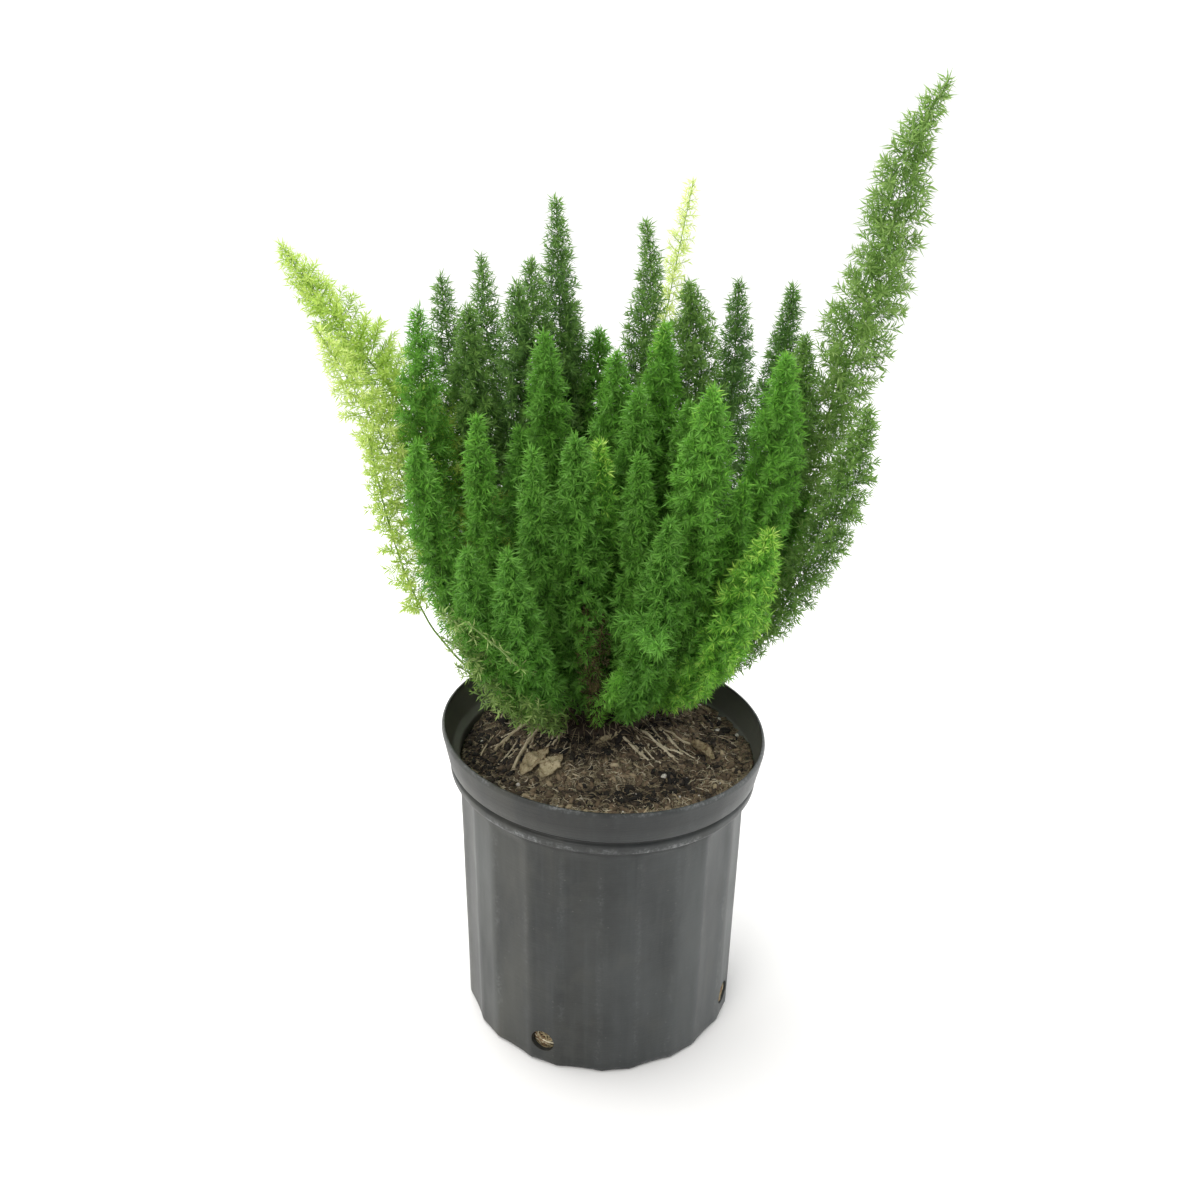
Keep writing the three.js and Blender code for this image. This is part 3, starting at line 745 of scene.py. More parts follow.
def frondSprigs(tree, want, line, draw):
    # Straight sprigs in a spiral round the stem. Low down they stand further apart.
    leafy = trimmed(tree, line, want["Bare Share"], plume["leafyEnd"])
    nodes = pointsAlong(tree, leafy, want["Sprig Spacing"])
    toTip, fromFoot = recalled(tree, "toTip"), recalled(tree, "fromFoot")
    points = stored(tree, nodes["Points"], "sprigTint", draw((-1.0, 1.0), 4))
    points = stored(tree, points, "stemTurn", nodes["Rotation"], "QUATERNION")
    kept = spread(tree, fromFoot, *plume["fullSpan"], want["Foot Density"], 1.0)
    lost = calc(tree, "GREATER_THAN", draw((0.0, 1.0), 11), kept)
    wires = {"Geometry": points, "Selection": lost}
    points = put(tree, "GeometryNodeDeleteGeometry", wires, domain="POINT").outputs[0]

    # How far the plume reaches there, and how long a sprig has to be for it.
    fading = calc(tree, "EXPONENT", calc(tree, "DIVIDE", toTip, times(tree, want["Tip Taper"], -1.0)))
    reach = timesPlus(tree, want["Plume Radius"], calc(tree, "SUBTRACT", 1.0, fading), want["Tip Radius"])
    reach = calc(tree, "MINIMUM", reach, want["Plume Radius"])
    footShare = calc(tree, "DIVIDE", fromFoot, want["Foot Taper"], clamped=True)
    reach = calc(tree, "MINIMUM", reach, spread(tree, footShare, 0, 1, want["Foot Radius"], reach))
    reach = times(tree, reach, draw(plume["reachSpan"], 1))
    lean = spread(tree, toTip, 0.0, plume["tipLeanLength"], plume["tipLean"], 1.0)
    lean = plus(tree, times(tree, want["Sprig Lean"], lean), draw(plume["leanSpan"], 2))
    reach = timesPlus(tree, want["Needle Length"], -plume["needleReach"], reach)
    reach = calc(tree, "DIVIDE", reach, calc(tree, "SINE", lean))
    reach = calc(tree, "MAXIMUM", reach, plume["shortest"])
    index = put(tree, "GeometryNodeInputIndex").outputs[0]
    turn = timesPlus(tree, index, plume["goldenTurn"], draw(plume["turnSpan"], 3))
    sprig = put(tree, "GeometryNodeCurvePrimitiveLine", {"Start": (0, 0, 0), "End": (0, 0, 1)}).outputs[0]
    rotation = turned(tree, recalled(tree, "stemTurn", "QUATERNION"), lean, turn)
    sprigs = planted(tree, points, sprig, rotation, reach)
    sprigs = stored(tree, sprigs, "reached", put(tree, "GeometryNodeSplineParameter").outputs["Factor"])
    thickness = spread(tree, recalled(tree, "reached"), 0.0, 1.0, 1.0, plume["twigEnd"])
    return sprigs, swept(tree, sprigs, plume["twigSides"], want["Twig Radius"], thickness)


def frondNeedles(tree, want, sprigs, draw, needle):
    # Needles stand round each sprig in whorls and close up towards its end.
    whorls = pointsAlong(tree, trimmed(tree, sprigs, plume["bareTwig"], 1.0), want["Whorl Spacing"])
    wires = {"Geometry": whorls["Points"], "Amount": want["Needles"]}
    many = put(tree, "GeometryNodeDuplicateElements", wires, domain="POINT").outputs
    reached = recalled(tree, "reached")
    step = calc(tree, "DIVIDE", math.tau, want["Needles"])
    around = timesPlus(tree, many["Duplicate Index"], step, draw(plume["whorlTurn"], 5))
    opening = plus(tree, spread(tree, reached, 0.2, 1.0, *plume["opening"]), draw(plume["openingSpan"], 6))
    long = times(tree, want["Needle Length"], draw(plume["lengthSpan"], 7))
    wide = times(tree, want["Needle Width"], draw(plume["widthSpan"], 8))
    tint = timesPlus(tree, recalled(tree, "sprigTint"), want["Tint Spread"], want["Tint"])
    tint = plus(tree, tint, spread(tree, reached, 0, 1, *plume["sprigTints"]))
    tint = plus(tree, tint, draw(plume["needleTints"], 9))
    youth = calc(tree, "EXPONENT", calc(tree, "DIVIDE", recalled(tree, "toTip"), -plume["youngLength"]))
    starts = stored(tree, many["Geometry"], "tint", timesPlus(tree, youth, want["Tip Tint"], tint))
    aimed = turned(tree, whorls["Rotation"], opening, around)
    aimed = turned(tree, aimed, 0.0, draw(plume["rollSpan"], 13))
    single = put(tree, "GeometryNodeObjectInfo", {"Object": needle}).outputs["Geometry"]
    needles = planted(tree, starts, single, aimed, combined(tree, wide, wide, long))
    height = timesPlus(tree, recalled(tree, "along"), needlePalette["stemBand"] - 0.06, 0.02)
    return paletteMapped(tree, needles, recalled(tree, "tint"), recalled(tree, "side"), height)


def makeFrondTree(needle):
    inputs = growthInputs(frondHabit)
    tree, want, result = newTree("frondGrowth", "GeometryNodeTree", inputs, {"Geometry": "Geometry"})

    def draw(span, salt):
        return chance(tree, *span, want["Seed"], salt)

    line, stem = frondLine(tree, want)
    sprigs, twigs = frondSprigs(tree, want, line, draw)
    needles = frondNeedles(tree, want, sprigs, draw, needle)

    # Twigs are as green as the needles' feet. The stem takes the palette's top band.
    wires = {"Vector": put(tree, "GeometryNodeInputPosition").outputs[0]}
    scattered = put(tree, "ShaderNodeTexWhiteNoise", wires, noise_dimensions="3D").outputs["Value"]
    side = spread(tree, scattered, 0, 1, -1, 1)
    twigTint = timesPlus(tree, recalled(tree, "sprigTint"), want["Tint Spread"], want["Tint"])
    twigTint = plus(tree, twigTint, plume["twigTint"])
    twigs = paletteMapped(tree, twigs, twigTint, side, draw((0.02, 0.4), 12))
    stem = paletteMapped(tree, stem, want["Tint"], side, draw((needlePalette["stemBand"] + 0.05, 0.98), 10))
    whole = put(tree, "GeometryNodeJoinGeometry")
    for part in (needles, twigs, stem):
        tree.links.new(part, whole.inputs[0])
    ended(tree, whole.outputs[0], want, result)
    return tree


def stemLine(node, low=(0, 0, 0), high=(0, 0, 0), neck=(0, 0, 0)):
    # The middle of each ring of a frond's solid, from its foot to its tip, rooted in the crown. Parts of it
    # can be moved a little, in millimetres.
    neckShare, neckWidth = 0.9, 0.09
    bm = bmesh.new()
    bm.from_mesh(frame["nodes"][node].data)
    bmesh.ops.remove_doubles(bm, verts=bm.verts, dist=1e-6)
    bm.verts.index_update()
    foot = min((v for v in bm.verts if len(v.link_edges) == plume["solidSides"]), key=lambda v: v.co.z)
    ring, seen, middles = [foot], {foot}, []
    while ring:
        middles.append(sum((v.co for v in ring), Vector()) / len(ring))
        around = {e.other_vert(v) for v in ring for e in v.link_edges} - seen
        ring = sorted(around, key=lambda v: v.index)
        seen.update(ring)
    bm.free()
    for k, middle in enumerate(middles):
        share = (middle - middles[0]).length / (middles[-1] - middles[0]).length
        shift = Vector(low) * math.sin(math.pi * share ** 0.6) + Vector(high) * share ** 2
        shift += Vector(neck) * math.exp(-((share - neckShare) / neckWidth) ** 2)
        middles[k] = middle + shift / 1000
    middles[0] = middles[0] - plume["rootDepth"] * (middles[1] - middles[0]).normalized()
    return middles


def makeFronds():
    finishes = {kind: makeNeedleMaterial(*names) for kind, names in frondFinishes.items()}
    needle = makeNeedle()
    tree = makeFrondTree(needle)

    def growFrond(name, middles, kinds, changes):
        values = dict(frondHabit)
        for kind in kinds:
            values.update(frondKinds.get(kind, {}))
        values.update(changes, Finish=finishes[kinds[0]])
        line = meshObject(name + "_line", middles, [(i, i + 1) for i in range(len(middles) - 1)])
        return grown(line, tree, name, values)

    for number, (name, (radius, tint, kinds, changes)) in enumerate(frondOwn.items()):
        kinds = kinds.split()
        own = {"Plume Radius": plume["fuller"] * radius / 1000, "Tint": tint, "Seed": 100 * number, **changes}
        piece = growFrond(name + "_plume", stemLine("frond_" + name, *moved.get(name, ())), kinds, own)
        finished(piece, None, "young_foliage" if kinds[0] == "lime" else "foliage", "frond_" + name)
    for number, (name, (finish, points, changes)) in enumerate(looseShoots.items()):
        own = {"Seed": 7000 + number, **changes}
        piece = growFrond(name, [Vector(p) / 1000 for p in points], [finish], own)
        finished(piece, None, "foliage" if finish == "lime" else "dead_stem")
    bpy.data.objects.remove(needle)


can = {
    # outside and inside outline in millimetres: radius, height, rounding
    "outline": [
        (0, 0, 0), (111.0, 0, 1.5), (113.6, 2.0, 1.2), (114.0, 6.0, 2), (115.84, 212, 3), (117.0, 219, 1.2),
        (123.8, 224, 1.3), (124.2, 230.5, 1.0), (121.8, 231.8, 0.4), (121.8, 234.2, 0.4), (125.2, 235.4, 1.0),
        (130, 260, 1.0),
        (128.96, 263, 0.6), (127.4, 263, 0.5), (127.4, 259, 1.2), (122.2, 239, 1.5), (116.2, 236, 1.5),
        (116.2, 225, 1.5), (114.2, 220, 2), (114.04, 212, 2), (109.7, 6.5, 1.5), (106, 2.5, 1), (0, 2.5, 0)],
    "insideFrom": 13,  # the outline's points after this one face inwards
    "longestStep": 22.0,
    "columns": 192,
    "panels": 24,
    "ribShare": 0.125,  # of a panel's turn, at each side
    "pressed": 1.5,
    "flatness": 1.5,
    "fuller": 1.2,
    "panelFoot": (-6.0, 2.0),  # heights between which the panels begin, and end
    "panelTop": (212.0, 220.0),
    "floorEdge": (90.0, 104.0),  # radii between which the flat floor turns into panels
    "sag": 0.05,
    "sagSpan": (120, 263),
    "wobble": 0.35,
    "wobbleSpan": (6, 40),
    "sharpDegrees": 38,
}

canWear = {
    # bands along the outline: height, half width, strength
    "worn": [(3, 3, 0.5), (224.5, 5.0, 2.0), (238, 1.5, 0.5), (262, 2.5, 1.0)],
    # painted shade: darker in the grooves and over the rim band's upper roll
    "shadeBands": [(233.0, 1.7, 1.0), (217.5, 2.0, 0.6), (226, 12, 0.35), (249, 24, 0.5)],
    "inside": 0.15,  # of the outside's wear, below the lip
    "lip": 255,
    "edge": 0.16,  # of a panel's turn, at each side
    "edgeFoot": (2, 12),  # heights over which the rubbed edges begin, and end
    "edgeTop": (205, 214),
    "edgeStrength": (0.16, 0.3),  # everywhere, and the painted highlight that the can's left and right have more
    "edgeHighlightSides": (0.5, 0.9),
    "sheenFoot": (3, 14),  # heights over which the painted sheen on the panels begins, and ends
    "sheenTop": (206, 216),
    "sheenRight": (0.3, 0.95),  # how far round the can they reach
    "sheenLeft": (0.4, 0.95),
    "sheenLeftStrength": 0.8,
    "sheenPressedStrength": 0.35,  # of the painted sheen, where a panel is pressed in
}

drains = {
    "turns": (247, 337, 67, 157),
    "height": 24.0,
    "radius": 10.0,
    "wallRadius": 111.0,
    "sides": 32,
    "cutterLength": 30.0,
    "marks": {"wear": 0.4, "inside": 0.6, "paintedShade": 0.0, "paintedSheen": 0.0},
}

canColours = {
    "base": (0.0115, 0.0135, 0.0137),
    # faded plastic, and the colour of the painted sheen at the can's sides
    "faded": (0.084, 0.092, 0.092),
    "brown": (0.060, 0.060, 0.049),
    "scuff": (0.24, 0.25, 0.25),
    # inner wall: soil stain, made paler as painted light against the shade inside the can
    "inside": (0.115, 0.115, 0.096),
    # painted shade in the grooves and on the rim band
    "paintedShade": (0.006, 0.006, 0.006),
    "dust": (0.24, 0.23, 0.21),
    "roughness": (0.33, 0.52),
    "shine": 0.32,
}


def roundedOutline(corners, longest):
    # Rounds each corner with a short arc and cuts long stretches into steps.
    dense = []
    for i, (radius, height, cut) in enumerate(corners):
        here = Vector((radius, height))
        if cut and 0 < i < len(corners) - 1:
            before = Vector(corners[i - 1][:2]) - here
            after = Vector(corners[i + 1][:2]) - here
            first = here + before.normalized() * min(cut, before.length * 0.45)
            last = here + after.normalized() * min(cut, after.length * 0.45)
            stops = (0, 0.33, 0.67, 1) if cut > 1 else (0, 0.5, 1)
            turn = [first * (1 - s) ** 2 + here * 2 * s * (1 - s) + last * s * s for s in stops]
        else:
            turn = [here]
        if dense:
            steps = int((turn[0] - dense[-1][0]).length // longest)
            start = dense[-1][0]
            dense += [(start.lerp(turn[0], (k + 1) / (steps + 1)), i) for k in range(steps)]
        dense += [(point, i) for point in turn]
    return dense


def sagAt(x, height):
    # How much lower the wall stands at the can's right, most of all at its rim.
    return can["sag"] * x * smoothStep(height, *can["sagSpan"])


def between(height, foot, top):
    # 1 between two spans of height, and 0 outside them.
    return smoothStep(height, *foot) * (1.0 - smoothStep(height, *top))


def canPoint(radius, height, turn):
    # A point of the can's wall in millimetres: flat panels, every other one pressed in, under a round band.
    panel, share = divmod(turn / math.tau * can["panels"], 1.0)
    paneled = between(height, can["panelFoot"], can["panelTop"])
    paneled *= smoothStep(radius, *can["floorEdge"])
    flat = smoothStep(min(share, 1.0 - share), 0.0, can["ribShare"])
    half = math.pi / can["panels"]
    chord = math.cos(half * 0.8) / math.cos(min(abs(share - 0.5) * 2 * half, half * 0.8)) - 1.0
    radius += (can["flatness"] * radius * chord * flat + can["fuller"]) * paneled
    here, beside = panel % 2, (panel + (1 if share > 0.5 else -1)) % 2
    pressed = here * (0.5 + 0.5 * flat) + beside * (0.5 - 0.5 * flat)
    radius -= can["pressed"] * pressed * paneled
    x, y = radius * math.cos(turn), radius * math.sin(turn)
    wave = can["wobble"] * noise.noise(Vector((x, y, height)) * 0.02) * smoothStep(height, *can["wobbleSpan"])
    x, y = x * (1 + wave / 115), y * (1 + wave / 115)
    return x, y, height - sagAt(x, height)


def insideRadius(x, height):
    # The radius of the can's inner wall at a height, in millimetres.
    wall = [(z, r) for r, z, _ in reversed(can["outline"][can["insideFrom"] + 1:-1])]
    return float(np.interp(height + sagAt(x, height), [z for z, _ in wall], [r for _, r in wall]))


def bandAt(height, bands):
    # The strongest of a few soft bands of height: middle, half width, strength.
    return max(most * (1.0 - smoothStep(abs(height - middle), 0.0, half)) for middle, half, most in bands)


def canMarks(height, turn, inward):
    # Wear, inside, painted shade and painted sheen, for a place on the can.
    look = canWear
    worn = bandAt(height, look["worn"])
    if inward:
        return (look["inside"] * worn if height < look["lip"] else worn), 1.0, 0.0, 0.0
    # The panels' edges are rubbed, and paler still at the can's left and right with painted highlight.
    share = turn / math.tau * can["panels"] % 1.0
    everywhere, more = look["edgeStrength"]
    edge = 1.0 - smoothStep(min(share, 1.0 - share), 0.0, look["edge"])
    edge *= between(height, look["edgeFoot"], look["edgeTop"])
    edge *= everywhere + more * smoothStep(abs(math.cos(turn)), *look["edgeHighlightSides"])
    # Painted sheen: the panels are paler at the can's right and left, where they face the bright room.
    sheenSides = smoothStep(math.cos(turn), *look["sheenRight"])
    sheenSides += look["sheenLeftStrength"] * smoothStep(-math.cos(turn), *look["sheenLeft"])
    panel = int(turn / math.tau * can["panels"] + 1e-6)
    paintedSheen = between(height, look["sheenFoot"], look["sheenTop"]) * sheenSides
    paintedSheen *= look["sheenPressedStrength"] if panel % 2 else 1.0
    return max(worn, edge), 0.0, bandAt(height, look["shadeBands"]), paintedSheen


def cutDrain(piece, degrees):
    # A round hole through the wall, low down.
    turn, away = math.radians(degrees), drains["wallRadius"] / 1000
    middle = Vector((math.cos(turn) * away, math.sin(turn) * away, drains["height"] / 1000))
    facing = Matrix.Translation(middle) @ heading(turn).to_track_quat("Z", "Y").to_matrix().to_4x4()
    size = drains["radius"] / 1000
    bm = bmesh.new()
    bmesh.ops.create_cone(bm, cap_ends=True, segments=drains["sides"], radius1=size, radius2=size,
                          depth=drains["cutterLength"] / 1000, matrix=facing)
    cutter = bmeshObject("drain", bm)
    for name, value in drains["marks"].items():
        mark(cutter, name, [value] * len(cutter.data.vertices))
    hole = piece.modifiers.new("drain", "BOOLEAN")
    hole.object = cutter
    hole.solver = "EXACT"
    piece.data = evaluatedMesh(piece)
    piece.modifiers.clear()
    bpy.data.objects.remove(cutter)


def makeCan(material):
    rings, marks = [], []
    for point, corner in roundedOutline(can["outline"], can["longestStep"]):
        count = 1 if point.x < 1e-6 else can["columns"]
        turns = [math.tau * c / count for c in range(count)]
        rings.append([Vector(canPoint(point.x, point.y, turn)) / 1000 for turn in turns])
        marks += [canMarks(point.y, turn, corner > can["insideFrom"]) for turn in turns]
    corners = [corner for ring in rings for corner in ring]
    piece = meshObject("nursery_can", corners, faces=revolved(rings, can["columns"]))
    for name, values in zip(drains["marks"], zip(*marks)):
        mark(piece, name, values)
    for degrees in drains["turns"]:
        cutDrain(piece, degrees)
    piece.data.materials.clear()
    piece.data.shade_smooth()
    piece.data.set_sharp_from_angle(angle=math.radians(can["sharpDegrees"]))
    finished(piece, material, "can_plastic", "pot")


def makeCanPlastic():
    look = canColours
    material, tree, shader = plainMaterial("canPlastic", shine=look["shine"])
    place = objectPlace(tree)
    wear, inside = marked(tree, "wear"), marked(tree, "inside")
    cloud = effect(tree, "mottle", place=place, scale=14.0, low=0.32, high=0.7)
    stain = effect(tree, "mottle", place=place, scale=38.0, low=0.52, high=0.75)
    patches = effect(tree, "mottle", place=place, scale=26.0, low=0.44, high=0.58)
    drips = effect(tree, "grain", place=place, stretch=(1.0, 1.0, 0.06), scale=130.0)
    lines = effect(tree, "grain", place=place, stretch=(0.015, 0.015, 1.0), scale=900.0)
    scratch = effect(tree, "grain", place=place, stretch=(1.0, 1.0, 1.0), scale=420.0)
    smear = effect(tree, "grain", place=place, stretch=(1.0, 1.0, 0.25), scale=32.0)
    dust = effect(tree, "specks", place=place, scale=330.0, size=0.32, amount=0.07)

    # Black plastic, browner at the left, and paler at the right with painted sheen.
    side = parted(tree, place)["X"]
    left = times(tree, spread(tree, side, 0.02, -0.10, 0, 1.0), smear)
    right = times(tree, spread(tree, side, 0.0, 0.10, 0, 1.0), spread(tree, smear, 0, 1, 0.35, 1.1))
    colour = mixed(tree, times(tree, cloud, 0.36), look["base"], look["faded"])
    colour = mixed(tree, left, colour, look["brown"])
    colour = mixed(tree, right, colour, look["faded"])
    colour = mixed(tree, times(tree, stain, 0.3), colour, look["brown"])
    colour = mixed(tree, spread(tree, drips, 0.45, 1.0, 0, 0.14), colour, look["faded"])

    # Painted sheen pales the can's side panels, and the edges are rubbed pale, in patches.
    paintedSheen = times(tree, marked(tree, "paintedSheen"), spread(tree, smear, 0.2, 0.9, 0.3, 1.0))
    colour = mixed(tree, paintedSheen, colour, look["faded"])
    wear = times(tree, wear, spread(tree, patches, 0, 1, 0.15, 1.3))
    rubbed = times(tree, wear, spread(tree, scratch, 0.4, 0.95, 0, 0.6))
    rubbed = plus(tree, rubbed, times(tree, wear, 0.12))
    colour = mixed(tree, rubbed, colour, look["scuff"])
    colour = mixed(tree, times(tree, dust, 0.12), colour, look["dust"])
    # The inner wall: soil stain, made paler as painted light.
    colour = mixed(tree, times(tree, inside, 0.75), colour, look["inside"])
    # Painted shade darkens the grooves and the rim band.
    colour = mixed(tree, marked(tree, "paintedShade"), colour, look["paintedShade"])
    tree.links.new(colour, shader.inputs["Base Color"])
    rough = spread(tree, plus(tree, cloud, times(tree, drips, 0.5)), 0, 1.5, *look["roughness"])
    tree.links.new(rough, shader.inputs["Roughness"])
    height = plus(tree, times(tree, lines, 0.6), times(tree, scratch, 0.5))
    bumped(tree, shader, height, 0.25, 0.0004)
    return material


soil = {
    "heap": (-8.0, 45.0, 48.0, 57.0, 249.0, 234.0),  # middle x, y, flat radius, slope, top and foot heights
    "bumps": ((1.8, 0.045), (2.0, 0.12), (0.9, 0.36)),  # height, bumps a millimetre
    "rings": 58,
    "columns": 216,
    "wallGap": 0.3,
    "floor": 3.2,
    "body": ((96.0, 3.2), (105.5, 8.0), (106.8, 24.0), (108.0, 90.0), (110.5, 200.0), (111.6, 226.0)),
    "darkening": ((16, -62, 26, 15), (60, -40, 14, 10)),  # painted shade in dark hollows: middle x and y, half widths
    "shade": (-8, 40, 50, 72),  # under the plant: middle x and y, and the radii over which it ends
    "wallShade": (62, 96, -50, -20),  # by the left wall: spans to the left and to the back
    "dryFront": (76, 94),
    "litterEnd": (108, 113),
    "litterNear": (-34, 1.1, 42),  # most litter lies in front of the plant: middle y, depth, reach
    "litterFront": (60, 95),
    "leafRoom": 1.1,  # no litter lies this far round a fallen leaf
}

soilColours = {
    "dark": (0.016, 0.014, 0.012),
    "brown": (0.250, 0.194, 0.124),
    "red": (0.275, 0.180, 0.118),
    "fibre": (0.640, 0.530, 0.340),
    "grit": (0.42, 0.38, 0.31),
    "fibreTurns": (0.2, 1.2, 2.3),
}


def soilHeight(x, y):
    middleX, middleY, flat, slope, top, foot = soil["heap"]
    share = min(max((math.hypot(x - middleX, y - middleY) - flat) / slope, 0.0), 1.0)
    height = top + (foot - top) * share
    for size, often in soil["bumps"]:
        height += size * noise.noise(Vector((x * often, y * often, size)))
    return height


def leafShare(leaf, x, y):
    # How far out a point is on a fallen leaf's oval: 1 at its edge.
    turn = math.radians(leaf[2])
    ahead = (x - leaf[0]) * math.cos(turn) + (y - leaf[1]) * math.sin(turn)
    beside = (y - leaf[1]) * math.cos(turn) - (x - leaf[0]) * math.sin(turn)
    return math.hypot(2 * ahead / leaf[3], 2 * beside / leaf[4])


def soilMarks(x, y):
    # How much litter lies at a place, and how dry the soil is there less its painted shade, in millimetres
    # from the can's middle.
    nearY, nearDepth, nearReach = soil["litterNear"]
    shadeX, shadeY, *shadeSpan = soil["shade"]
    fromRight, toLeft, fromFront, toBack = soil["wallShade"]
    clear = 1.0 - smoothStep(math.hypot(x, y), *soil["litterEnd"])
    near = math.exp(-math.hypot(x, (y - nearY) * nearDepth) / nearReach)
    front = 0.6 * smoothStep(-y, *soil["litterFront"])
    patch = 0.45 + 1.1 * noise.noise(Vector((x * 0.035, y * 0.035, 3.0)))
    hollow = sum(math.exp(-((x - dx) / w) ** 2 - ((y - dy) / d) ** 2) for dx, dy, w, d in soil["darkening"])
    under = 1.0 - smoothStep(math.hypot(x - shadeX, y - shadeY), *shadeSpan)
    shady = smoothStep(-x, fromRight, toLeft) * smoothStep(y, fromFront, toBack)
    dry = max(patch, 0.3) + 1.1 * smoothStep(-y, *soil["dryFront"])
    # Painted shade: darker in the hollows, under the plant and by the left wall.
    dry = dry - 0.8 * hollow - 0.7 * max(under, 0.75 * shady)
    if min(leafShare(leaf, x, y) for leaf in leaves.values()) < soil["leafRoom"]:
        clear = 0.0
    # Less pale litter lies in the painted shade under the plant and by the left wall.
    cover = clear * min(0.5 + 0.6 * near + front, 1.1) * (1.0 - 0.6 * max(under, shady))
    return cover, min(max(dry, 0.0), 1.0)


def makeSoil(material):
    turns = [math.tau * k / soil["columns"] for k in range(soil["columns"])]
    foot, aside = soil["heap"][-1], 115.0
    reaches = [insideRadius(aside * math.cos(turn), foot) - soil["wallGap"] for turn in turns]
    rings = [[Vector((0, 0, soil["floor"] / 1000))]]
    for radius, height in soil["body"]:
        rings.append([Vector((radius * math.cos(t), radius * math.sin(t), height)) / 1000 for t in turns])
    for ring in range(soil["rings"], 0, -1):
        row = []
        for turn, reach in zip(turns, reaches):
            away = reach * (ring / soil["rings"])
            x, y = away * math.cos(turn), away * math.sin(turn)
            row.append(Vector((x, y, soilHeight(x, y))) / 1000)
        rings.append(row)
    rings.append([Vector((0, 0, soilHeight(0, 0))) / 1000])
    corners = [corner for ring in rings for corner in ring]
    below = 1 + len(soil["body"]) * soil["columns"]
    cover, dryness = zip(*[soilMarks(corner.x * 1000, corner.y * 1000) for corner in corners])
    piece = meshObject("potting_soil", corners, faces=revolved(rings, soil["columns"]))
    mark(piece, "cover", (0.0,) * below + cover[below:])
    mark(piece, "dryness", dryness)
    piece.data.shade_smooth()
    finished(piece, material, "potting_mix", "soil")
    return piece


def makePottingMix():
    look = soilColours
    material, tree, shader = plainMaterial("pottingMix", 0.9, 0.25)
    place = objectPlace(tree)
    broad = effect(tree, "mottle", place=place, scale=45.0, low=0.3, high=0.7)
    clod = effect(tree, "mottle", place=place, scale=210.0, low=0.40, high=0.62)
    fine = effect(tree, "mottle", place=place, scale=900.0, low=0.4, high=0.66)
    grit = effect(tree, "specks", place=place, scale=420.0, size=0.36, amount=0.10)
    fibres = 0.0
    for number, angle in enumerate(look["fibreTurns"]):
        wires = {"Vector": place, "Angle": angle}
        bent = put(tree, "ShaderNodeVectorRotate", wires, rotation_type="Z_AXIS").outputs[0]
        strand = effect(tree, "grain", place=bent, stretch=(1.0, 0.13, 1.0), scale=460.0 + 90.0 * number)
        fibres = calc(tree, "MAXIMUM", strand, fibres)
    dry = marked(tree, "dryness")
    brown = mixed(tree, spread(tree, parted(tree, place)["X"], 0.02, 0.07, 0, 1), look["brown"], look["red"])
    colour = mixed(tree, clod, look["dark"], brown)
    colour = mixed(tree, times(tree, fine, spread(tree, dry, 0, 1, 0.05, 0.75)), colour, look["fibre"])
    # Darker where the soil is damp, and in its painted shade.
    darkening = times(tree, spread(tree, dry, 0, 0.5, 0.65, 0.0), spread(tree, broad, 0, 1, 0.4, 1.0))
    colour = mixed(tree, darkening, colour, look["dark"])
    colour = mixed(tree, spread(tree, fibres, 0.66, 0.95, 0, 0.7), colour, look["fibre"])
    colour = mixed(tree, times(tree, grit, 0.55), colour, look["grit"])
    tree.links.new(colour, shader.inputs["Base Color"])
    height = plus(tree, times(tree, clod, 0.8), times(tree, fine, 0.4))
    bumped(tree, shader, timesPlus(tree, fibres, 0.3, height), 1.0, 0.003)
    return material


# Scattered pieces: how many a square metre where the cover is full, and how each lies and is coloured.
litter = {
    "strands": {"Density": 88000.0, "Low": 0.22, "High": 0.85, "Tilt": 0.5, "Lift": 0.0007, "Tone Low": 0.45,
                "Tone High": 1.45, "Even": 0.45, "Seed": 11},
    "crumbs": {"Density": 52000.0, "Low": 0.6, "High": 2.8, "Tilt": 1.2, "Lift": 0.0004, "Tone Low": 0.0,
               "Tone High": 0.62, "Even": 0.95, "Seed": 23},
    "chips": {"Density": 12000.0, "Low": 0.4, "High": 1.3, "Tilt": 0.7, "Lift": 0.0006, "Tone Low": 0.05,
              "Tone High": 0.75, "Even": 0.9, "Seed": 37},
}

# Each kind of scattered lump: how many shapes, size, flatness, detail and seed.
lumps = {"crumbs": (4, 0.0011, 0.7, 1, 500), "chips": (4, 0.0022, 0.25, 1, 600)}

litterPalette = {
    0.0: (0.014, 0.012, 0.010),
    0.25: (0.075, 0.056, 0.036),
    0.45: (0.180, 0.130, 0.080),
    0.7: (0.420, 0.340, 0.215),
    1.0: (0.820, 0.730, 0.540),
}


def shapeGroup(name, shapes):
    # Keeps a few shapes in a collection of their own, each with its palette marks.
    group = bpy.data.collections.new(name)
    for number, (corners, faces) in enumerate(shapes):
        thing = meshObject(f"{name}_{number}", corners, faces=faces)
        scene.collection.objects.unlink(thing)
        group.objects.link(thing)
        places = np.array([tuple(c) for c in corners])
        low, high = places.min(0), places.max(0)
        half = np.maximum((high - low) / 2, 1e-6)
        marks = (places - (high + low) / 2) / half
        longest = int(np.argmax(half))
        mark(thing, "along", marks[:, longest] * 0.5 + 0.5)
        mark(thing, "side", np.clip(marks[:, (longest + 1) % 3] + 0.35 * marks[:, (longest + 2) % 3], -1, 1))
        thing.data.shade_smooth()
    return group


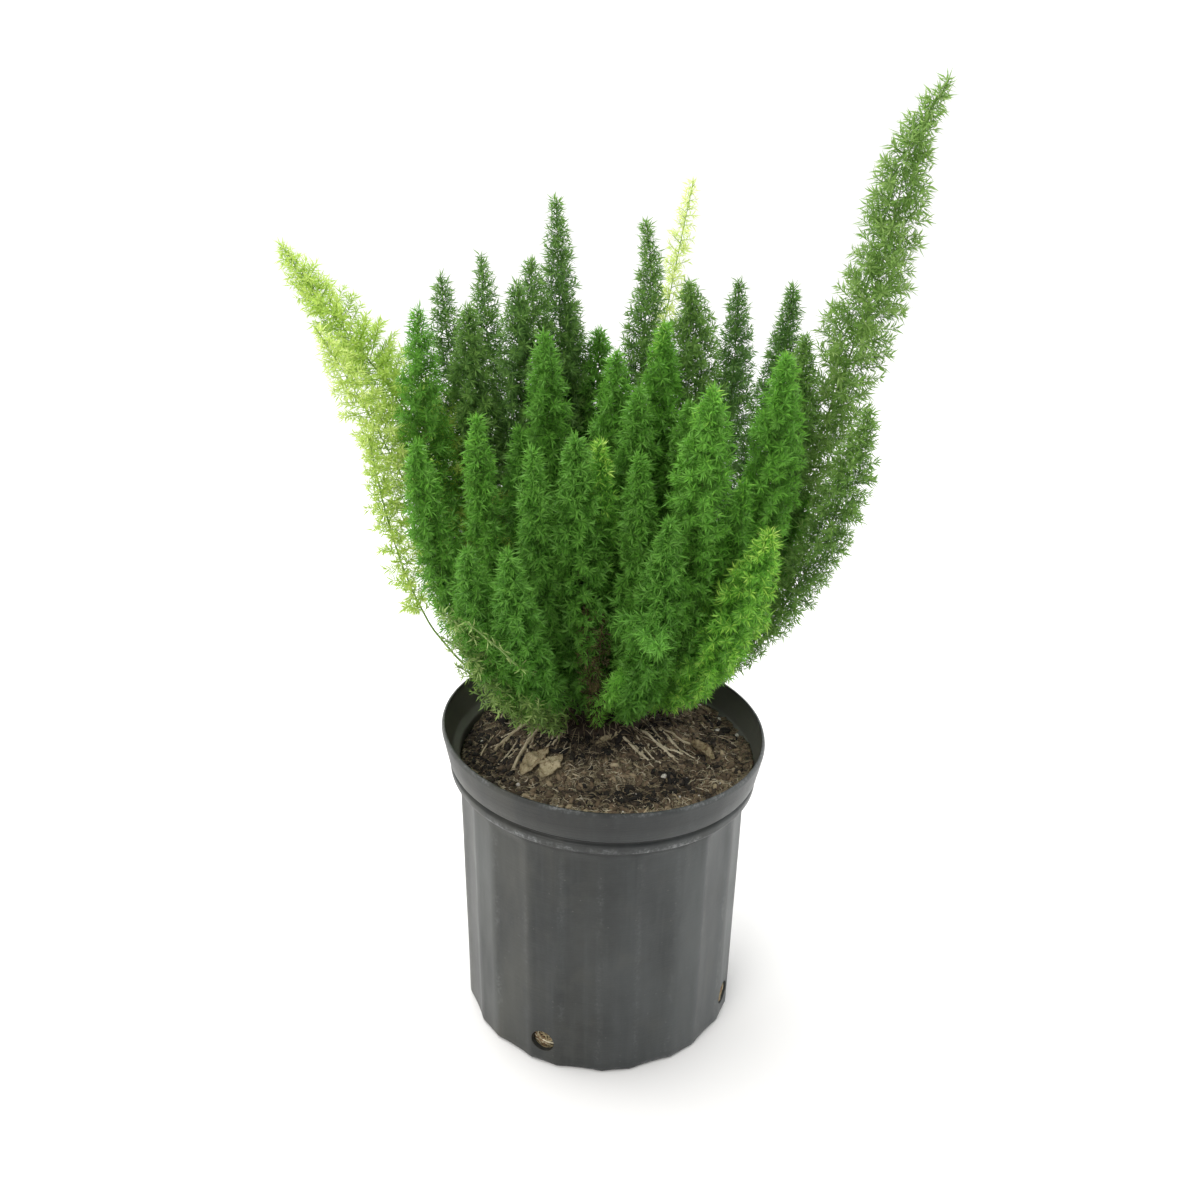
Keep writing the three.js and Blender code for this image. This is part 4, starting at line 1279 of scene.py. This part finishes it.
def strandShapes(count=9):
    # Short bent fibres, thin at both ends.
    half, mostBend, radii = 0.0065, 0.004, (0.00016, 0.0003, 0.00034, 0.0003, 0.00014)
    shapes = []
    for number in range(count):
        chooser = random.Random(400 + number)
        bend, twist = chooser.uniform(-mostBend, mostBend), chooser.uniform(-0.0015, 0.0025)
        points = []
        for k in range(5):
            s = k / 4 * 2 - 1
            x = half * s * (1 - 0.3 * abs(bend) / mostBend * s * s)
            y = bend * (s * s - 0.4) + 0.0012 * chooser.uniform(-1, 1)
            points.append((x, y, 0.0008 * (1 - s * s) + twist * s * s * 0.4))
        shapes.append(tube(points, radii, 3)[:2])
    return shapes


def lumpShapes(count, size, flatness, level, seed):
    shapes = []
    for number in range(count):
        chooser = random.Random(seed + number)
        bm = bmesh.new()
        bmesh.ops.create_icosphere(bm, subdivisions=level, radius=1.0)
        for vertex in bm.verts:
            push = 1.0 + 0.35 * noise.noise(vertex.co * 1.7 + Vector((seed + number, 0, 0)))
            vertex.co = vertex.co * push * chooser.uniform(0.85, 1.15)
            vertex.co = Vector((vertex.co.x * 1.6, vertex.co.y * 0.8, vertex.co.z * flatness)) * size
        bm.verts.index_update()
        shapes.append(([v.co.copy() for v in bm.verts], [[v.index for v in f.verts] for f in bm.faces]))
        bm.free()
    return shapes


def makeScatterTree():
    inputs = growthInputs(litter["strands"], Shapes=("Collection", None))
    tree, want, result = newTree("litterScatter", "GeometryNodeTree", inputs, {"Geometry": "Geometry"})
    seed = want["Seed"]
    share = calc(tree, "MAXIMUM", recalled(tree, "cover"), 0.0)
    bare = calc(tree, "GREATER_THAN", share, 0.01)
    share = calc(tree, "MAXIMUM", share, times(tree, bare, want["Even"]))
    wires = {"Mesh": want["Geometry"], "Density": times(tree, share, want["Density"]), "Seed": seed}
    spots = put(tree, "GeometryNodeDistributePointsOnFaces", wires, distribute_method="RANDOM").outputs
    tone = times(tree, chance(tree, 0.0, 1.0, seed, 1), chance(tree, 0.5, 1.0, seed, 2))
    tone = spread(tree, tone, 0, 1, want["Tone Low"], want["Tone High"])
    # Litter is darker where the soil is damp, and in its painted shade.
    tone = plus(tree, tone, spread(tree, recalled(tree, "dryness"), 0, 1, -0.24, 0.26))
    points = stored(tree, spots["Points"], "tint", tone)
    turn = turned(tree, spots["Rotation"], 0.0, chance(tree, 0.0, math.tau, seed, 3))
    turn = turned(tree, turn, times(tree, want["Tilt"], chance(tree, -1.0, 1.0, seed, 4)), 0.0)
    wires = {"Geometry": points, "Offset": combined(tree, 0.0, 0.0, want["Lift"])}
    points = put(tree, "GeometryNodeSetPosition", wires).outputs[0]
    wires = {"Collection": want["Shapes"], "Separate Children": True, "Reset Children": True}
    shapes = put(tree, "GeometryNodeCollectionInfo", wires).outputs[0]
    size = chance(tree, want["Low"], want["High"], seed, 5)
    pieces = planted(tree, points, shapes, turn, size, pick=True)
    height = timesPlus(tree, recalled(tree, "along"), 0.9, 0.05)
    pieces = paletteMapped(tree, pieces, recalled(tree, "tint"), recalled(tree, "side"), height)
    ended(tree, pieces, want, result)
    return tree


def makeLitter(soilPiece):
    material, paint, shader = plainMaterial("plantLitter", 0.82, 0.3)
    paint.links.new(paletteColour(paint, litterPalette, 1.1, 0.75, 1.15)[0], shader.inputs["Base Color"])
    shapes = {"strands": shapeGroup("strand", strandShapes())}
    shapes.update((name, shapeGroup(name[:-1], lumpShapes(*values))) for name, values in lumps.items())
    tree = makeScatterTree()
    for name, values in litter.items():
        wanted = {**values, "Shapes": shapes[name], "Finish": material}
        finished(grown(addObject(name, soilPiece.data), tree, "soil_" + name, wanted), None, "potting_mix")
    for group in shapes.values():
        for thing in list(group.objects):
            bpy.data.objects.remove(thing)
        bpy.data.collections.remove(group)


# White perlite grains: x, y and size in millimetres.
perlite = [
    (48, -39.3, 2.5), (-66, -52, 1.8), (-33.8, -79.2, 1.0), (15.6, -84, 1.0), (97.4, 55.3, 2.2),
    (95.1, 36.4, 2.4), (111.6, 31.3, 1.9), (82.8, 72.3, 2.1), (74.3, -61.8, 1.0), (59.5, -63.7, 1.1),
    (25.7, -60.9, 0.9), (-47.6, -75.7, 1.0), (88, 12, 0.8), (104, 8, 0.8), (66, -38, 0.8), (36, -72, 0.7),
    (2, -96, 0.9), (-16, -70, 0.7), (-72, -56, 0.8), (-92, -30, 0.8), (-100, 8, 1.2), (-85, 62, 1.6),
    (-40, 96, 1.5), (20, 104, 1.7), (62, 92, 1.4), (92, -44, 0.8), (45, -95, 0.9), (-24, -100, 0.8),
]

perliteColours = {"pore": (0.36, 0.32, 0.26), "grain": (0.80, 0.78, 0.72)}


def makePerlite():
    bm = bmesh.new()
    for number, (x, y, size) in enumerate(perlite):
        made = bmesh.ops.create_icosphere(bm, subdivisions=2, radius=1.0)["verts"]
        chooser = random.Random(900 + number)
        stretch = Vector((chooser.uniform(0.9, 1.3), chooser.uniform(0.8, 1.1), chooser.uniform(0.7, 0.95)))
        turn = Matrix.Rotation(chooser.uniform(0, math.tau), 3, "Z")
        middle = Vector((x, y, soilHeight(x, y) + size * 0.45)) / 1000
        for vertex in made:
            push = 1.0 + 0.22 * noise.noise(vertex.co * 2.1 + Vector((number, 0, 0)))
            vertex.co = middle + turn @ (vertex.co * stretch) * push * size / 1000
    piece = bmeshObject("perlite", bm)
    piece.data.shade_smooth()
    material, tree, shader = plainMaterial("perliteGrain", 0.8)
    pores = effect(tree, "mottle", place=objectPlace(tree), scale=900.0, low=0.35, high=0.65)
    tree.links.new(mixed(tree, pores, *perliteColours.values()), shader.inputs["Base Color"])
    bumped(tree, shader, pores, 0.6, 0.0004)
    finished(piece, material, "potting_mix")


# Roots that fill the drain holes. Each hole: how many, the tones they lie between, and how far out they are.
drainRoots = [(22, 0.4, 1.0, 109.8), (34, 0.36, 0.8, 112.6), (14, 0.5, 0.9, 109.8), (14, 0.45, 0.85, 109.8)]


def makeDrainRoots(material):
    tubes = []
    up, half = Vector((0, 0, 1)), 12.5
    for number, (degrees, (count, low, high, away)) in enumerate(zip(drains["turns"], drainRoots)):
        chooser = random.Random(1200 + number)
        angle = math.radians(degrees)
        ahead, across = heading(angle), Vector((-math.sin(angle), math.cos(angle), 0))
        middle = ahead * away + Vector((0, 0, drains["height"]))
        for _ in range(count):
            tilt, bow = chooser.uniform(0, math.pi), chooser.uniform(-6, 6)
            shift = chooser.uniform(-5.5, 5.5)
            line = across * math.cos(tilt) + up * math.sin(tilt)
            beside = -across * math.sin(tilt) + up * math.cos(tilt)
            points = []
            for k in range(9):
                s = k / 4 - 1
                depth = chooser.uniform(-0.5, 0.5) - 2.6 * s * s
                point = middle + line * half * s + beside * (shift + bow * (1 - s * s)) + ahead * depth
                points.append(point / 1000)
            size = chooser.uniform(0.3, 0.9) / 1000
            tubes.append((tube(points, [size] * 9, 6), chooser.uniform(low, high)))
    finished(joinedTubes("drain_roots", tubes), material, "potting_mix")


crown = {
    "middle": (-8.0, 45.0),
    # radius and height in millimetres, from its foot round its edge to its top
    "outline": [(0, 232), (18, 232.6), (36, 234), (44, 239), (48, 245), (47.4, 249.5), (45, 254), (37, 258.4),
                (27, 262), (14, 264.4), (0, 266)],
    "topFrom": 6,  # the outline's points from here on carry what stands on the crown
    "columns": 72,
    "bumps": ((1.0, 0.09), (0.7, 0.28)),
    "bumpSpan": (236, 244),  # heights between which the bumps begin
    "tone": 0.2,
    "stubs": 34,
    "stubReach": 43,
    "bristles": 190,
    "bristleReach": 47,
    "bristleSize": 0.00042,
}


def crownHeight(x, y):
    # Top of the crown in millimetres, or None outside it.
    away = math.hypot(x - crown["middle"][0], y - crown["middle"][1])
    radii, heights = zip(*reversed(crown["outline"][crown["topFrom"]:]))
    return float(np.interp(away, radii, heights)) if away <= radii[-1] else None


def ground(x, y):
    # What a loose piece lies on.
    return max(soilHeight(x, y), crownHeight(x, y) or 0.0)


strawStops = {
    0.0: (0.030, 0.020, 0.013),
    0.3: (0.090, 0.066, 0.044),
    0.55: (0.215, 0.172, 0.108),
    0.8: (0.430, 0.365, 0.240),
    1.0: (0.680, 0.610, 0.450),
}

rootStops = {
    0.0: (0.03, 0.018, 0.012),
    0.3: (0.19, 0.085, 0.045),
    0.6: (0.24, 0.19, 0.10),
    0.8: (0.38, 0.33, 0.20),
    1.0: (0.62, 0.57, 0.42),
}

crownStops = {
    0.0: (0.014, 0.010, 0.007),
    0.3: (0.055, 0.036, 0.022),
    0.6: (0.15, 0.105, 0.062),
    1.0: (0.40, 0.33, 0.22),
}

fibreLook = {"roughness": 0.75, "shine": 0.35, "blotchTint": (0.45, 0.40, 0.34), "blotchStrength": 0.6}


def makeFibreMaterial(name, stops):
    # Dry plant fibre, coloured by the tone of each piece and streaked along it.
    material, tree, shader = plainMaterial(name, fibreLook["roughness"], fibreLook["shine"])
    grain = marked(tree, "grain", "Vector")
    streak = effect(tree, "grain", place=grain, stretch=(1.0, 1.0, 0.07), scale=900.0)
    blotch = effect(tree, "mottle", place=objectPlace(tree), scale=120.0, low=0.45, high=0.7)
    colour = ramp(tree, plus(tree, marked(tree, "tone"), spread(tree, streak, 0, 1, -0.14, 0.12)), stops)
    dark = mixed(tree, 1.0, colour, fibreLook["blotchTint"], "MULTIPLY")
    colour = mixed(tree, times(tree, blotch, fibreLook["blotchStrength"]), colour, dark)
    tree.links.new(colour, shader.inputs["Base Color"])
    bumped(tree, shader, streak, 0.5, 0.0003)
    return material


def makeCrown(material):
    columns = crown["columns"]
    dense = []
    for (r1, z1), (r2, z2) in zip(crown["outline"], crown["outline"][1:]):
        dense += [(r1 + (r2 - r1) * s / 3, z1 + (z2 - z1) * s / 3) for s in range(3)]
    dense.append(crown["outline"][-1])
    middleX, middleY = crown["middle"]
    rings, grains = [], []
    for radius, height in dense:
        ring = []
        for c in range(1 if radius < 1e-6 else columns):
            turn = math.tau * c / columns
            place = Vector((radius * math.cos(turn), radius * math.sin(turn), height))
            push = sum(size * noise.noise(place * often) for size, often in crown["bumps"])
            push *= smoothStep(height, *crown["bumpSpan"])
            place += Vector((place.x, place.y, 1.4 * (height - 240))).normalized() * push
            ring.append(Vector((middleX + place.x, middleY + place.y, place.z)) / 1000)
            grains.append((turn * 0.03, 0.0, radius / 1000))
        rings.append(ring)
    piece = meshObject("fern_crown", [p for ring in rings for p in ring], faces=revolved(rings, columns))
    piece.data.shade_smooth()
    mark(piece, "tone", [crown["tone"]] * len(piece.data.vertices))
    mark(piece, "grain", grains, "FLOAT_VECTOR")
    finished(piece, material, "rootstock", "rootstock")


def makeStubs(material):
    # Cut and broken stems of earlier years, standing on the crown.
    chooser = random.Random(77)
    middleX, middleY = crown["middle"]
    depth = 2.5
    tubes = []
    for _ in range(crown["stubs"]):
        turn, away = chooser.uniform(0, math.tau), crown["stubReach"] * math.sqrt(chooser.uniform(0.02, 1))
        x, y = middleX + away * math.cos(turn), middleY + away * math.sin(turn)
        lean = heading(turn) * away / 60
        sway = Vector((chooser.uniform(-0.3, 0.3), chooser.uniform(-0.3, 0.3), 0))
        up = (Vector((0, 0, 1)) + lean + sway).normalized()
        long, radius = chooser.uniform(6, 19), chooser.uniform(1.2, 2.2)
        foot = Vector((x, y, ground(x, y) - depth))
        points = [(foot + up * (long + depth) * s / 4) / 1000 for s in range(5)]
        radii = [radius * w / 1000 for w in (1.15, 1.0, 0.95, 0.95, 0.85)]
        tubes.append((tube(points, radii, 8), chooser.uniform(0.25, 0.75)))
    finished(joinedTubes("crown_stubs", tubes), material, "rootstock")


def makeBristles():
    # Dry bristles that hang from the crown over the soil, most of them at the front.
    chooser = random.Random(78)
    tubes = []
    for number in range(crown["bristles"]):
        turn = chooser.uniform(0, math.tau) if number % 4 == 0 else chooser.uniform(-2.6, -0.35)
        away = crown["bristleReach"] * chooser.uniform(0.75, 1.15)
        x, y = crown["middle"][0] + away * math.cos(turn), crown["middle"][1] + away * math.sin(turn)
        out = heading(turn) * chooser.uniform(0.4, 1.3)
        up = Vector((chooser.uniform(-0.5, 0.5), chooser.uniform(-0.5, 0.5), chooser.uniform(0.0, 0.8)))
        ahead = (out + up).normalized()
        long, droop = chooser.uniform(8, 26), chooser.uniform(2, 9)
        foot = Vector((x, y, ground(x, y) - 0.5))
        points = [foot + ahead * long * s / 4 + Vector((0, 0, -droop * (s / 4) ** 2)) for s in range(5)]
        for point in points[1:]:
            point.z = max(point.z, ground(point.x, point.y) + 0.4)
        radii = [w * crown["bristleSize"] for w in (1.2, 1, 0.9, 0.7, 0.35)]
        tubes.append((tube([p / 1000 for p in points], radii, 3), chooser.uniform(0.15, 0.95)))
    return tubes


# Dead canes that lie from the crown down over the soil, in millimetres: upper end, lower end, radius, tone.
canes = {
    "dead_cane_1": ((-61, 24), (-88, -6), 1.35, 0.76),
    "dead_cane_2": ((-51, 15), (-71, -33), 1.5, 0.84),
    "dead_cane_3": ((-33, 4), (-41.5, -9.5), 1.2, 0.85),
    "dead_cane_4": ((16, -1), (36, -24), 1.2, 0.92),
    "dead_cane_5": ((30, 11), (57, -16), 1.3, 0.95),
}

# Thinner straws among them: upper end, lower end, radius, tone.
straws = [
    ((-78.6, 9.1), (-82, -3), 0.7, 0.8), ((-57.6, 3), (-59, -10), 0.9, 0.85),
    ((-41, 0), (-46, -12), 0.8, 0.95), ((46, 19.8), (71.3, 4), 1.0, 0.85),
    ((45.2, 19.4), (65.1, -6.8), 0.8, 0.9), ((-36, -4), (-38.5, -14), 0.8, 0.7),
    ((-86.8, 18.5), (-99, -11.2), 0.7, 0.75), ((33.8, 30.3), (47.4, 5), 0.8, 0.9),
    ((48.7, -2.7), (64.3, -9), 0.9, 1.0), ((-66, 12), (-84, -24), 0.6, 0.9), ((-50, 6), (-62, -14), 0.6, 0.8),
    ((-28, -2), (-33, -16), 0.6, 0.95), ((26, 4), (46, -24), 0.6, 1.05), ((38, 14), (60, -22), 0.7, 0.85),
    ((-56, 16), (-78, -18), 0.6, 0.95), ((22, -2), (33, -18), 0.6, 0.9), ((40, 2), (52, -6), 0.7, 1.05),
    ((-74, 14), (-92, -2), 0.6, 0.9), ((34, 0), (43, -14), 0.5, 1.0), ((52, 8), (74, -10), 0.5, 1.0),
    ((-68, 20), (-84, 8), 0.6, 1.05), ((-72, 16), (-80, 4), 0.6, 0.95), ((28, -4), (40, -30), 0.5, 0.85),
]


def bentStraw(upper, lower, radius, seed, sides, stations):
    # A straw with knots and slight bends, hollow at its lower end, resting on the ground. Millimetres.
    chooser = random.Random(seed)
    start, end = Vector(upper), Vector(lower)
    across = (end - start).orthogonal().normalized()
    bow = chooser.uniform(-0.06, 0.06) * (end - start).length
    points, radii = [], []
    for k in range(stations):
        s = k / (stations - 1)
        flat = start.lerp(end, s) + across * bow * 4 * s * (1 - s)
        flat += across * 0.5 * noise.noise(Vector((s * 5, seed, 0)))
        points.append(Vector((flat.x, flat.y, 0)))
        radii.append(radius * (1.0 + 0.12 * noise.noise(Vector((s * 6, seed, 5)))))
    radii[chooser.randrange(3, stations - 4)] *= 1.22
    for k, point in enumerate(points):
        near = [ground(p.x, p.y) for p in points[max(k - 2, 0):k + 3]]
        point.z = max(sum(near) / len(near), ground(point.x, point.y)) + radius * 0.8
    # The hollow end turns back inside itself.
    inward = (points[-2] - points[-1]).normalized()
    points += [points[-1], points[-1] + inward * radius * 2.2]
    radii += [radius * 0.66, radius * 0.5]
    return [p / 1000 for p in points], [r / 1000 for r in radii], sides


def strawTube(points, radii, sides):
    # Like tube, but its last two rings fold back inside the one before them.
    outer = len(points) - 2
    corners, faces, grains = tube(points[:outer], radii[:outer], sides)
    faces.pop()
    base = (outer - 1) * sides
    middle = points[outer - 1]
    rim = [corners[base + k] - middle for k in range(sides)]
    for step in (outer, outer + 1):
        shrink = radii[step] / radii[outer - 1]
        back = points[step] - middle
        corners += [middle + back + r * shrink for r in rim]
        grains += [(r.x * shrink, r.y * shrink, 0.0) for r in rim]
    for low in (base, base + sides):
        for k in range(sides):
            n = (k + 1) % sides
            faces.append((low + k, low + n, low + n + sides, low + k + sides))
    last = base + 2 * sides
    faces.append(tuple(range(last, last + sides)))
    return corners, faces, grains


def makeCanes(material):
    for number, (name, (upper, lower, radius, tone)) in enumerate(canes.items()):
        made = strawTube(*bentStraw(upper, lower, radius, 31 + number, 12, 18))
        finished(joinedTubes(name + "_straw", [(made, tone)]), material, "dead_stem", name)
    tubes = []
    for number, (upper, lower, radius, tone) in enumerate(straws):
        tubes.append((strawTube(*bentStraw(upper, lower, radius, 60 + number, 8, 12)), tone))
    finished(joinedTubes("dead_straws", tubes + makeBristles()), material, "dead_stem")


# Fallen leaves: middle x and y, heading, length, width, lift of the edges, tone, crumple. Millimetres.
leaves = {
    "dry_leaf_1": (-54.5, -27, 53, 34, 15, 3, 0.86, 2.3),
    "dry_leaf_2": (-41, -34, 55, 28, 15, 2.5, 0.96, 2.2),
    "dry_leaf_3": (81, -1, 317, 25, 12, 4, 0.74, 3.2),
    "thin_leaf": (4, -4, 40, 28, 5, 1.5, 1.0, 0.6),
}

leafBlade = {"rows": 30, "across": 12, "thickness": 0.45, "clearance": 0.9, "ragged": 0.34}

leafStops = {
    0.0: (0.050, 0.030, 0.016),
    0.4: (0.180, 0.122, 0.064),
    0.7: (0.340, 0.275, 0.160),
    1.0: (0.520, 0.450, 0.290),
}


def makeLeafMaterial():
    material, tree, shader = plainMaterial("dryLeaf", 0.7)
    blade = parted(tree, marked(tree, "blade", "Vector"))
    across = calc(tree, "ABSOLUTE", blade["Y"])
    # Side veins run forward from the midrib.
    slant = timesPlus(tree, across, -0.9, blade["X"])
    vein = spread(tree, calc(tree, "PINGPONG", times(tree, slant, 5.0), 0.5), 0.0, 0.09, 1, 0)
    lines = calc(tree, "MAXIMUM", vein, spread(tree, across, 0.03, 0.09, 1, 0))
    place = objectPlace(tree)
    blotch = effect(tree, "mottle", place=place, scale=160.0, low=0.4, high=0.68)
    fine = effect(tree, "mottle", place=place, scale=700.0, low=0.35, high=0.65)
    tone = plus(tree, marked(tree, "tone"), spread(tree, fine, 0, 1, -0.12, 0.12))
    # Painted shade in creases, where a broad noise crosses its middle value.
    folds = effect(tree, "mottle", place=place, scale=95.0, low=0.0, high=1.0)
    creaseShade = spread(tree, calc(tree, "ABSOLUTE", plus(tree, folds, -0.5)), 0.0, 0.03, 1, 0)
    # Painted shade along the blade's rim.
    edge = spread(tree, across, 0.75, 1.0, 0, 1)
    for what, strength in ((creaseShade, -0.42), (blotch, -0.2), (lines, 0.1), (edge, -0.18)):
        tone = timesPlus(tree, what, strength, tone)
    tree.links.new(ramp(tree, tone, leafStops), shader.inputs["Base Color"])
    bumped(tree, shader, timesPlus(tree, fine, 0.4, lines), 0.6, 0.0004)
    return material


def bladePoint(leaf, number, s, t):
    # A point of a fallen leaf's upper side. s runs along the leaf and t across it, both from -1 to 1.
    x, y, degrees, long, wide, lift, _, crumple = leaf
    turn = math.radians(degrees)
    ahead, beside = Vector((math.cos(turn), math.sin(turn))), Vector((-math.sin(turn), math.cos(turn)))
    half = wide / 2 * max((1 - s * s) ** 0.75 * (1 - 0.18 * s), 0.03)
    ragged = 1.0 + leafBlade["ragged"] * noise.noise(Vector((s * 5, t * 2, number * 7))) * abs(t)
    middle = Vector((x, y)) + ahead * long / 2 * s
    flat = middle + beside * half * t * ragged
    wrinkle = 1.1 * noise.noise(Vector((s * 2.6, t * 1.6, number * 5)))
    wrinkle += 0.55 * noise.noise(Vector((s * 6.5, t * 3.5, number * 5)))
    wrinkle += 0.3 * math.sin(9 * s + 2 * t)
    fold = lift * (half * t * 2 / wide) ** 2 + 0.10 * lift * abs(t) + 1.2 * abs(s) ** 3
    under = max(soilHeight(middle.x, middle.y), soilHeight(flat.x, flat.y))
    return Vector((flat.x, flat.y, under + leafBlade["clearance"] + fold + max(wrinkle * crumple, -0.5)))


def bladeFaces(rows, across, count):
    # The upper side, the under side and the rim between them.
    width = across + 1
    faces = []
    for a in (i * width + k for i in range(rows) for k in range(across)):
        faces.append((a, a + width, a + width + 1, a + 1))
        faces.append((count + a, count + a + 1, count + a + width + 1, count + a + width))
    rim = list(range(width)) + [i * width + across for i in range(1, rows + 1)]
    rim += [rows * width + k for k in range(across - 1, -1, -1)] + [i * width for i in range(rows - 1, 0, -1)]
    return faces + [(a, b, count + b, count + a) for a, b in zip(rim, rim[1:] + rim[:1])]


def makeLeaves(material):
    rows, across = leafBlade["rows"], leafBlade["across"]
    places = [(i / rows * 2 - 1, k / across * 2 - 1) for i in range(rows + 1) for k in range(across + 1)]
    faces = bladeFaces(rows, across, len(places))
    down = Vector((0, 0, leafBlade["thickness"]))
    for number, (name, leaf) in enumerate(leaves.items()):
        upper = [bladePoint(leaf, number, s, t) for s, t in places]
        corners = [p / 1000 for p in upper] + [(p - down) / 1000 for p in upper]
        piece = meshObject(name + "_blade", corners, faces=faces)
        mark(piece, "blade", [(s, t, 0.0) for s, t in places] * 2, "FLOAT_VECTOR")
        mark(piece, "tone", [leaf[6]] * len(corners))
        bm = bmesh.new()
        bm.from_mesh(piece.data)
        bmesh.ops.recalc_face_normals(bm, faces=bm.faces)
        bm.to_mesh(piece.data)
        bm.free()
        piece.data.shade_smooth()
        node = [name] if name in frame["nodes"] else []
        finished(piece, material, "dry_leaf", *node)


print("stage: camera, floor, lamps and sky")
addCamera()
addStage()
addSky()

print("stage: nursery can")
makeCan(makeCanPlastic())

print("stage: soil and litter")
soilPiece = makeSoil(makePottingMix())
makeLitter(soilPiece)
makePerlite()

print("stage: roots, crown, canes and leaves")
crownMaterial = makeFibreMaterial("crownFibre", crownStops)
makeDrainRoots(makeFibreMaterial("rootFibre", rootStops))
makeCrown(crownMaterial)
makeStubs(crownMaterial)
makeCanes(makeFibreMaterial("strawFibre", strawStops))
makeLeaves(makeLeafMaterial())

print("stage: fronds")
makeFronds()
